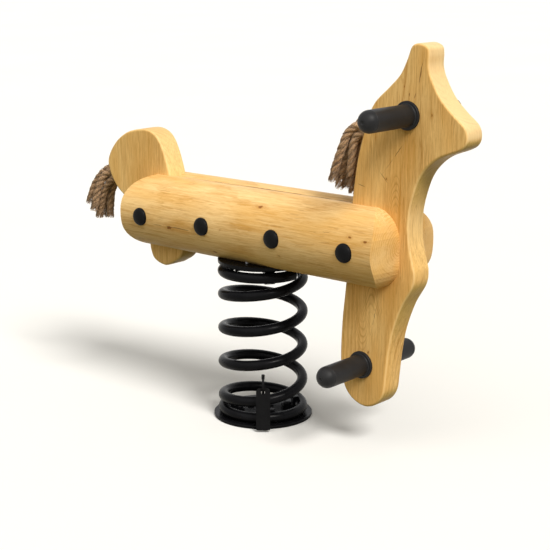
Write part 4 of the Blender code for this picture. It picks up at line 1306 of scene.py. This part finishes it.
@dataclass
class Timber:
    """Logs and boards with their grain."""

    height: float = 0.3953  # height of the logs' axis
    half: float = 0.0249  # half the boards' thickness
    edge: float = 0.0045  # radius of the boards' sanded edges
    flat: float = 0.0012  # width of the face's first strip inside the edge

    def board(self, name: str, points: Sequence[Pair]) -> Piece:
        """Build a board with round edges.

        Args:
            name: The piece's name.
            points: Its outline as (x, height over the logs' axis), open along the slot.

        Returns:
            The new piece.
        """
        line = smooth_line([(x, 0.0, self.height + up) for x, up in points], 6)
        run = np.roll(line, -1, axis=0) - np.roll(line, 1, axis=0)
        x, z = line[:, 0], line[:, 2]
        area = float(np.sum(x * np.roll(z, -1) - np.roll(x, -1) * z))
        out = unit(np.stack([run[:, 2], 0 * x, -run[:, 0]], axis=1) * math.copysign(1.0, area))
        stations = [(-self.half, self.edge + self.flat)]
        for angle in map(math.radians, range(0, 91, 15)):
            inset = self.edge * (1 - math.sin(angle))
            stations.append((-self.half + self.edge * (1 - math.cos(angle)), inset))
        stations += [(-y, inset) for y, inset in reversed(stations)]
        rows = [line - out * inset + (0.0, y, 0.0) for y, inset in stations]
        parts = MeshParts()
        parts.rings(rows, turn_back=area < 0)
        return parts.build(name, SMOOTH_DEGREES)

    def build(self) -> None:
        """Dress the logs, and build and dress the boards."""
        dress(NODES["right_log"], RIGHT_LOG.material())
        dress(NODES["left_log"], LEFT_LOG.material())
        plan = (("head_board", HEAD_OUTLINE, HEAD), ("tail_board", TAIL_OUTLINE, TAIL))
        for name, points, finish in plan:
            board = self.board(f"{name}_sanded", points)
            dress(board, finish.material())
            ride(board, Body.RIDER, Slot.BOARD, name)


@dataclass
class Hardware:
    """Plates, clamps, bolts, nuts, screws and bars, which keep the CAD's shapes."""

    coated: tuple[str, ...] = ("plate", "clamp")  # words in the names of the coated pieces
    # Words in the names of the zinc-plated pieces
    plated: tuple[str, ...] = ("cross_bolt", "nut", "screw", "bar")

    def build(self, coat: Finish, zinc: Finish) -> None:
        """Dress every small steel node.

        Args:
            coat: Finish of plates and clamps.
            zinc: Finish of the rest.
        """
        for words, mat in ((self.coated, coat.material()), (self.plated, zinc.material())):
            for name, node in NODES.items():
                if any(word in name for word in words):
                    dress(node, mat)


@dataclass
class TagAndTie:
    """Blank tag and the cable tie that holds it, which keep the CAD's shapes."""

    tag: Finish
    tie: Finish

    def build(self) -> None:
        """Dress the tag and the tie."""
        dress(NODES["tag"], self.tag.material())
        dress(NODES["cable_tie"], self.tie.material())


RIGHT_LOG = WoodFinish(
    "log_wood_right", pith=(0.0, -0.03, 0.4), ring=0.0048, wander=0.034, contrast=0.52,
    knots=(
        Knot((0.0628, -0.0776, 0.4484), 0.0036, (0.45, 1.0, 1.0)),
        Knot((-0.1637, -0.0985, 0.3807), 0.0034, (0.45, 1.0, 1.0)),
        Knot((-0.0576, -0.0779, 0.3424), 0.003, (0.45, 1.0, 1.0)),
        Knot((0.289, -0.0946, 0.4232), 0.0024, (0.6, 1.0, 1.0)),
        Knot((0.3257, -0.096, 0.4194), 0.0026, (0.6, 1.0, 1.0)),
        Knot((0.1217, -0.0931, 0.3639), 0.0018, (0.6, 1.0, 1.0)),
        Knot((-0.0231, -0.1, 0.3955), 0.0014, (0.6, 1.0, 1.0)),
    ),
    cracks_and_seam_shade=(
        # painted shade in the valley between the two logs, drawn as a long dark line
        CrackOrSeamShade((0.02, 0.0, 0.465), 0.42, 0.0026),
        CrackOrSeamShade((-0.148, -0.099, 0.3826), 0.08, 0.0011),
        CrackOrSeamShade((0.07, -0.072, 0.452), 0.06, 0.0006),
        CrackOrSeamShade((0.23, -0.093, 0.425), 0.05, 0.0005),
    ),
)
LEFT_LOG = WoodFinish(
    "log_wood_left", pith=(0.0, 0.03, 0.4), ring=0.005, wander=0.034, contrast=0.52,
    knots=(
        Knot((0.12, 0.096, 0.415), 0.003, (0.45, 1.0, 1.0)),
        Knot((-0.1, 0.095, 0.375), 0.0034, (0.45, 1.0, 1.0)),
    ),
    cracks_and_seam_shade=(
        # painted shade in the valley between the two logs, drawn as a long dark line
        CrackOrSeamShade((0.02, 0.0, 0.465), 0.42, 0.0036),
        CrackOrSeamShade((0.03, 0.096, 0.414), 0.07, 0.0008),
    ),
)
HEAD = WoodFinish(
    "board_wood_head", grain_up=True, pith=(0.31, 0.05, 0.45), ring=0.0085, wander=0.075,
    # rim paints a highlight on the upper rims, shade on down-facing rims and a highlight along the
    # rounded edges
    contrast=0.62, flecks=0.26, streaks=0.45, rim=0.7,
    light=(0.95, 0.62, 0.24), dark=(0.56, 0.275, 0.064), warm=(0.82, 0.42, 0.095),
    knots=(
        Knot((0.4137, -0.0249, 0.646), 0.0016, (1.0, 0.3, 0.6)),
        Knot((0.3502, -0.0249, 0.7026), 0.0012, (1.0, 0.3, 0.6)),
        Knot((0.354, -0.0249, 0.6925), 0.001, (1.0, 0.3, 0.6)),
        Knot((0.3183, -0.0249, 0.525), 0.0012, (1.0, 0.3, 0.6)),
        Knot((0.284, -0.0249, 0.19), 0.0014, (1.0, 0.3, 0.5)),
    ),
    cracks_and_seam_shade=(
        CrackOrSeamShade((0.3882, -0.0249, 0.718), 0.026, 0.0013, 0.18),
        CrackOrSeamShade((0.3775, -0.0249, 0.677), 0.01, 0.0009, 0.2),
        CrackOrSeamShade((0.366, -0.0249, 0.68), 0.007, 0.0009, 0.1),
        CrackOrSeamShade((0.3424, -0.0249, 0.5754), 0.058, 0.0008, 0.76),
        CrackOrSeamShade((0.3125, -0.0249, 0.526), 0.012, 0.0009, -0.88),
        CrackOrSeamShade((0.263, -0.0249, 0.506), 0.0028, 0.003, -3.8),
        CrackOrSeamShade((0.296, -0.0249, 0.26), 0.05, 0.0007, 0.2),
    ),
    arches=(
        Arch((0.34, -0.0249, 0.53), 170.0, 0.013),
        Arch((0.29, -0.0249, 0.33), 120.0, 0.016),
        Arch((0.269, -0.0249, 0.194), -130.0, 0.014),
    ),
)
TAIL = WoodFinish(
    "board_wood_tail", grain_up=True, pith=(-0.36, 0.07, 0.4), ring=0.0085, wander=0.045,
    # rim paints a highlight on the upper rims, shade on down-facing rims and a highlight along the
    # rounded edges
    contrast=0.4, flecks=0.2, streaks=0.42, rim=0.3,
    light=(0.93, 0.62, 0.245), dark=(0.58, 0.3, 0.072),
)
MANE_ROUTES: tuple[tuple[Point, ...], ...] = (
    ((.297, 0, .6243), (.268, 0, .6245), (.244, 0, .6202), (.2258, 0, .6067), (.218, 0, .5877),
     (.2132, 0, .5667), (.2072, 0, .5464), (.2006, 0, .5259), (.1945, 0, .5062),
     (.1898, 0, .4885)),
    ((.297, -.0113, .6162), (.26, -.0113, .6162), (.2385, -.0133, .611), (.222, -.016, .596),
     (.2135, -.0182, .5753), (.2043, -.0192, .5521), (.1965, -.0196, .5288),
     (.1902, -.0196, .5039)),
    ((.297, .0113, .6162), (.2625, .0113, .6164), (.2392, .0133, .6109), (.2228, .016, .5957),
     (.2117, .0183, .573), (.2055, .0195, .5515), (.1995, .0198, .529), (.1927, .0198, .5063),
     (.1873, .0198, .4865)),
    ((.297, -.007, .6029), (.262, -.007, .6031), (.2455, -.008, .5986), (.2345, -.0094, .5868),
     (.2301, -.0104, .5676), (.2284, -.0108, .5451), (.2251, -.0108, .5214),
     (.2208, -.0108, .4983)),
    ((.297, .007, .6029), (.2612, .007, .6031), (.2453, .008, .5983), (.2345, .0094, .5862),
     (.2291, .0104, .568), (.2256, .0106, .5442), (.2201, .0106, .5143), (.2141, .0106, .4804)),
)
TAIL_ROUTES: tuple[tuple[Point, ...], ...] = (
    ((-.384, 0, .4678), (-.412, 0, .4678), (-.437, -.0005, .4632), (-.459, -.002, .4505),
     (-.4754, -.0035, .4339), (-.4875, -.005, .4152), (-.4958, -.0065, .3954),
     (-.5017, -.007, .3768)),
    ((-.384, -.0113, .4597), (-.411, -.0113, .4597), (-.432, -.013, .454), (-.4454, -.0155, .441),
     (-.4548, -.018, .4244), (-.4617, -.0198, .4057), (-.4679, -.0205, .3855),
     (-.4736, -.0205, .3666)),
    ((-.384, .0113, .4597), (-.411, .0113, .4597), (-.434, .013, .4535), (-.452, .015, .4385),
     (-.4643, .0165, .4174), (-.4709, .017, .3956), (-.4754, .017, .3721),
     (-.4782, .0165, .3459)),
    ((-.384, -.007, .4464), (-.408, -.007, .4464), (-.425, -.007, .4408), (-.4423, -.0066, .4252),
     (-.4538, -.006, .4079), (-.4626, -.0055, .3881), (-.4693, -.0052, .3671),
     (-.4741, -.005, .3485)),
    ((-.384, .007, .4464), (-.408, .007, .4464), (-.424, .0079, .441), (-.435, .009, .4292),
     (-.4468, .01, .4079), (-.4513, .0102, .3872), (-.4537, .0102, .3668),
     (-.4548, .0102, .3488)),
)
HEAD_OUTLINE: tuple[tuple[float, float], ...] = (
    (0.24, 0.0767), (0.245, 0.1187), (0.253, 0.1657), (0.264, 0.2057), (0.274, 0.2377),
    (0.2893, 0.2663), (0.3187, 0.2937), (0.343, 0.3182), (0.3574, 0.346), (0.3672, 0.369),
    (0.3842, 0.3746), (0.401, 0.369), (0.4048, 0.3566), (0.4046, 0.3346), (0.4115, 0.3135),
    (0.431, 0.2817), (0.456, 0.2572), (0.4811, 0.2366), (0.488, 0.2198), (0.4848, 0.2038),
    (0.471, 0.1926), (0.4337, 0.1779), (0.4091, 0.1605), (0.3899, 0.1362), (0.3768, 0.1022),
    (0.369, 0.0647), (0.37, 0.0197), (0.3795, -0.0213), (0.3838, -0.0404), (0.38, -0.0665),
    (0.3573, -0.1058), (0.3388, -0.1553), (0.3295, -0.2025), (0.3246, -0.2456), (0.3195, -0.2818),
    (0.3036, -0.3038), (0.278, -0.314), (0.252, -0.3075), (0.2312, -0.2893), (0.2205, -0.2595),
    (0.2172, -0.2173), (0.22, -0.1533), (0.2245, -0.1103), (0.228, -0.0773),
)
TAIL_OUTLINE: tuple[tuple[float, float], ...] = (
    (-0.233, 0.0717), (-0.2378, 0.089), (-0.2512, 0.1248), (-0.2671, 0.1501), (-0.2871, 0.1621),
    (-0.3126, 0.1646), (-0.3539, 0.1559), (-0.3863, 0.1371), (-0.4094, 0.1114), (-0.4194, 0.0875),
    (-0.416, 0.069), (-0.406, 0.049), (-0.39, 0.03), (-0.3655, 0.012), (-0.338, -0.008),
    (-0.3142, -0.0352), (-0.2998, -0.064), (-0.2945, -0.09), (-0.283, -0.1098), (-0.252, -0.1185),
    (-0.224, -0.107), (-0.207, -0.0945), (-0.2, -0.0783),
)


def main() -> None:
    """Load the frame and build every piece."""
    logging.basicConfig(level=logging.INFO, format="%(message)s")
    for obj in list(bpy.data.objects):
        bpy.data.objects.remove(obj, do_unlink=True)
    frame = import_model()
    NODES.update(frame["nodes"])
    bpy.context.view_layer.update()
    Studio().build()
    rope = RopeFinish("rope")
    RopeBundle("mane", MANE_ROUTES, seed=5).build(rope)
    RopeBundle("tail", TAIL_ROUTES, seed=11).build(rope)
    coat = BlackFinish("powder_coat", (0.0034, 0.0034, 0.0042), roughness=0.27, grain=1400.0,
                       depth=0.00003, dust=0.03, shine=0.055)
    CoilSpring().build(coat)
    Caps().build(BlackFinish("cap_plastic", roughness=0.42, grain=1300.0, depth=0.00004,
                             dust=0.06, shine=0.06))
    Grips().build(BlackFinish("grip_rubber", (0.0098, 0.0097, 0.0105), roughness=0.47, grain=430.0,
                              depth=0.00020, dust=0.30, shine=0.18))
    Timber().build()
    Hardware().build(coat, ZincFinish("zinc"))
    TagAndTie(
        BlackFinish("tag_plastic", (0.0048, 0.0048, 0.0052), roughness=0.55, grain=700.0,
                    shine=0.04),
        BlackFinish("tie_plastic", (0.006, 0.006, 0.0065), grain=1500.0),
    ).build()


if __name__ == "__main__":
    main()
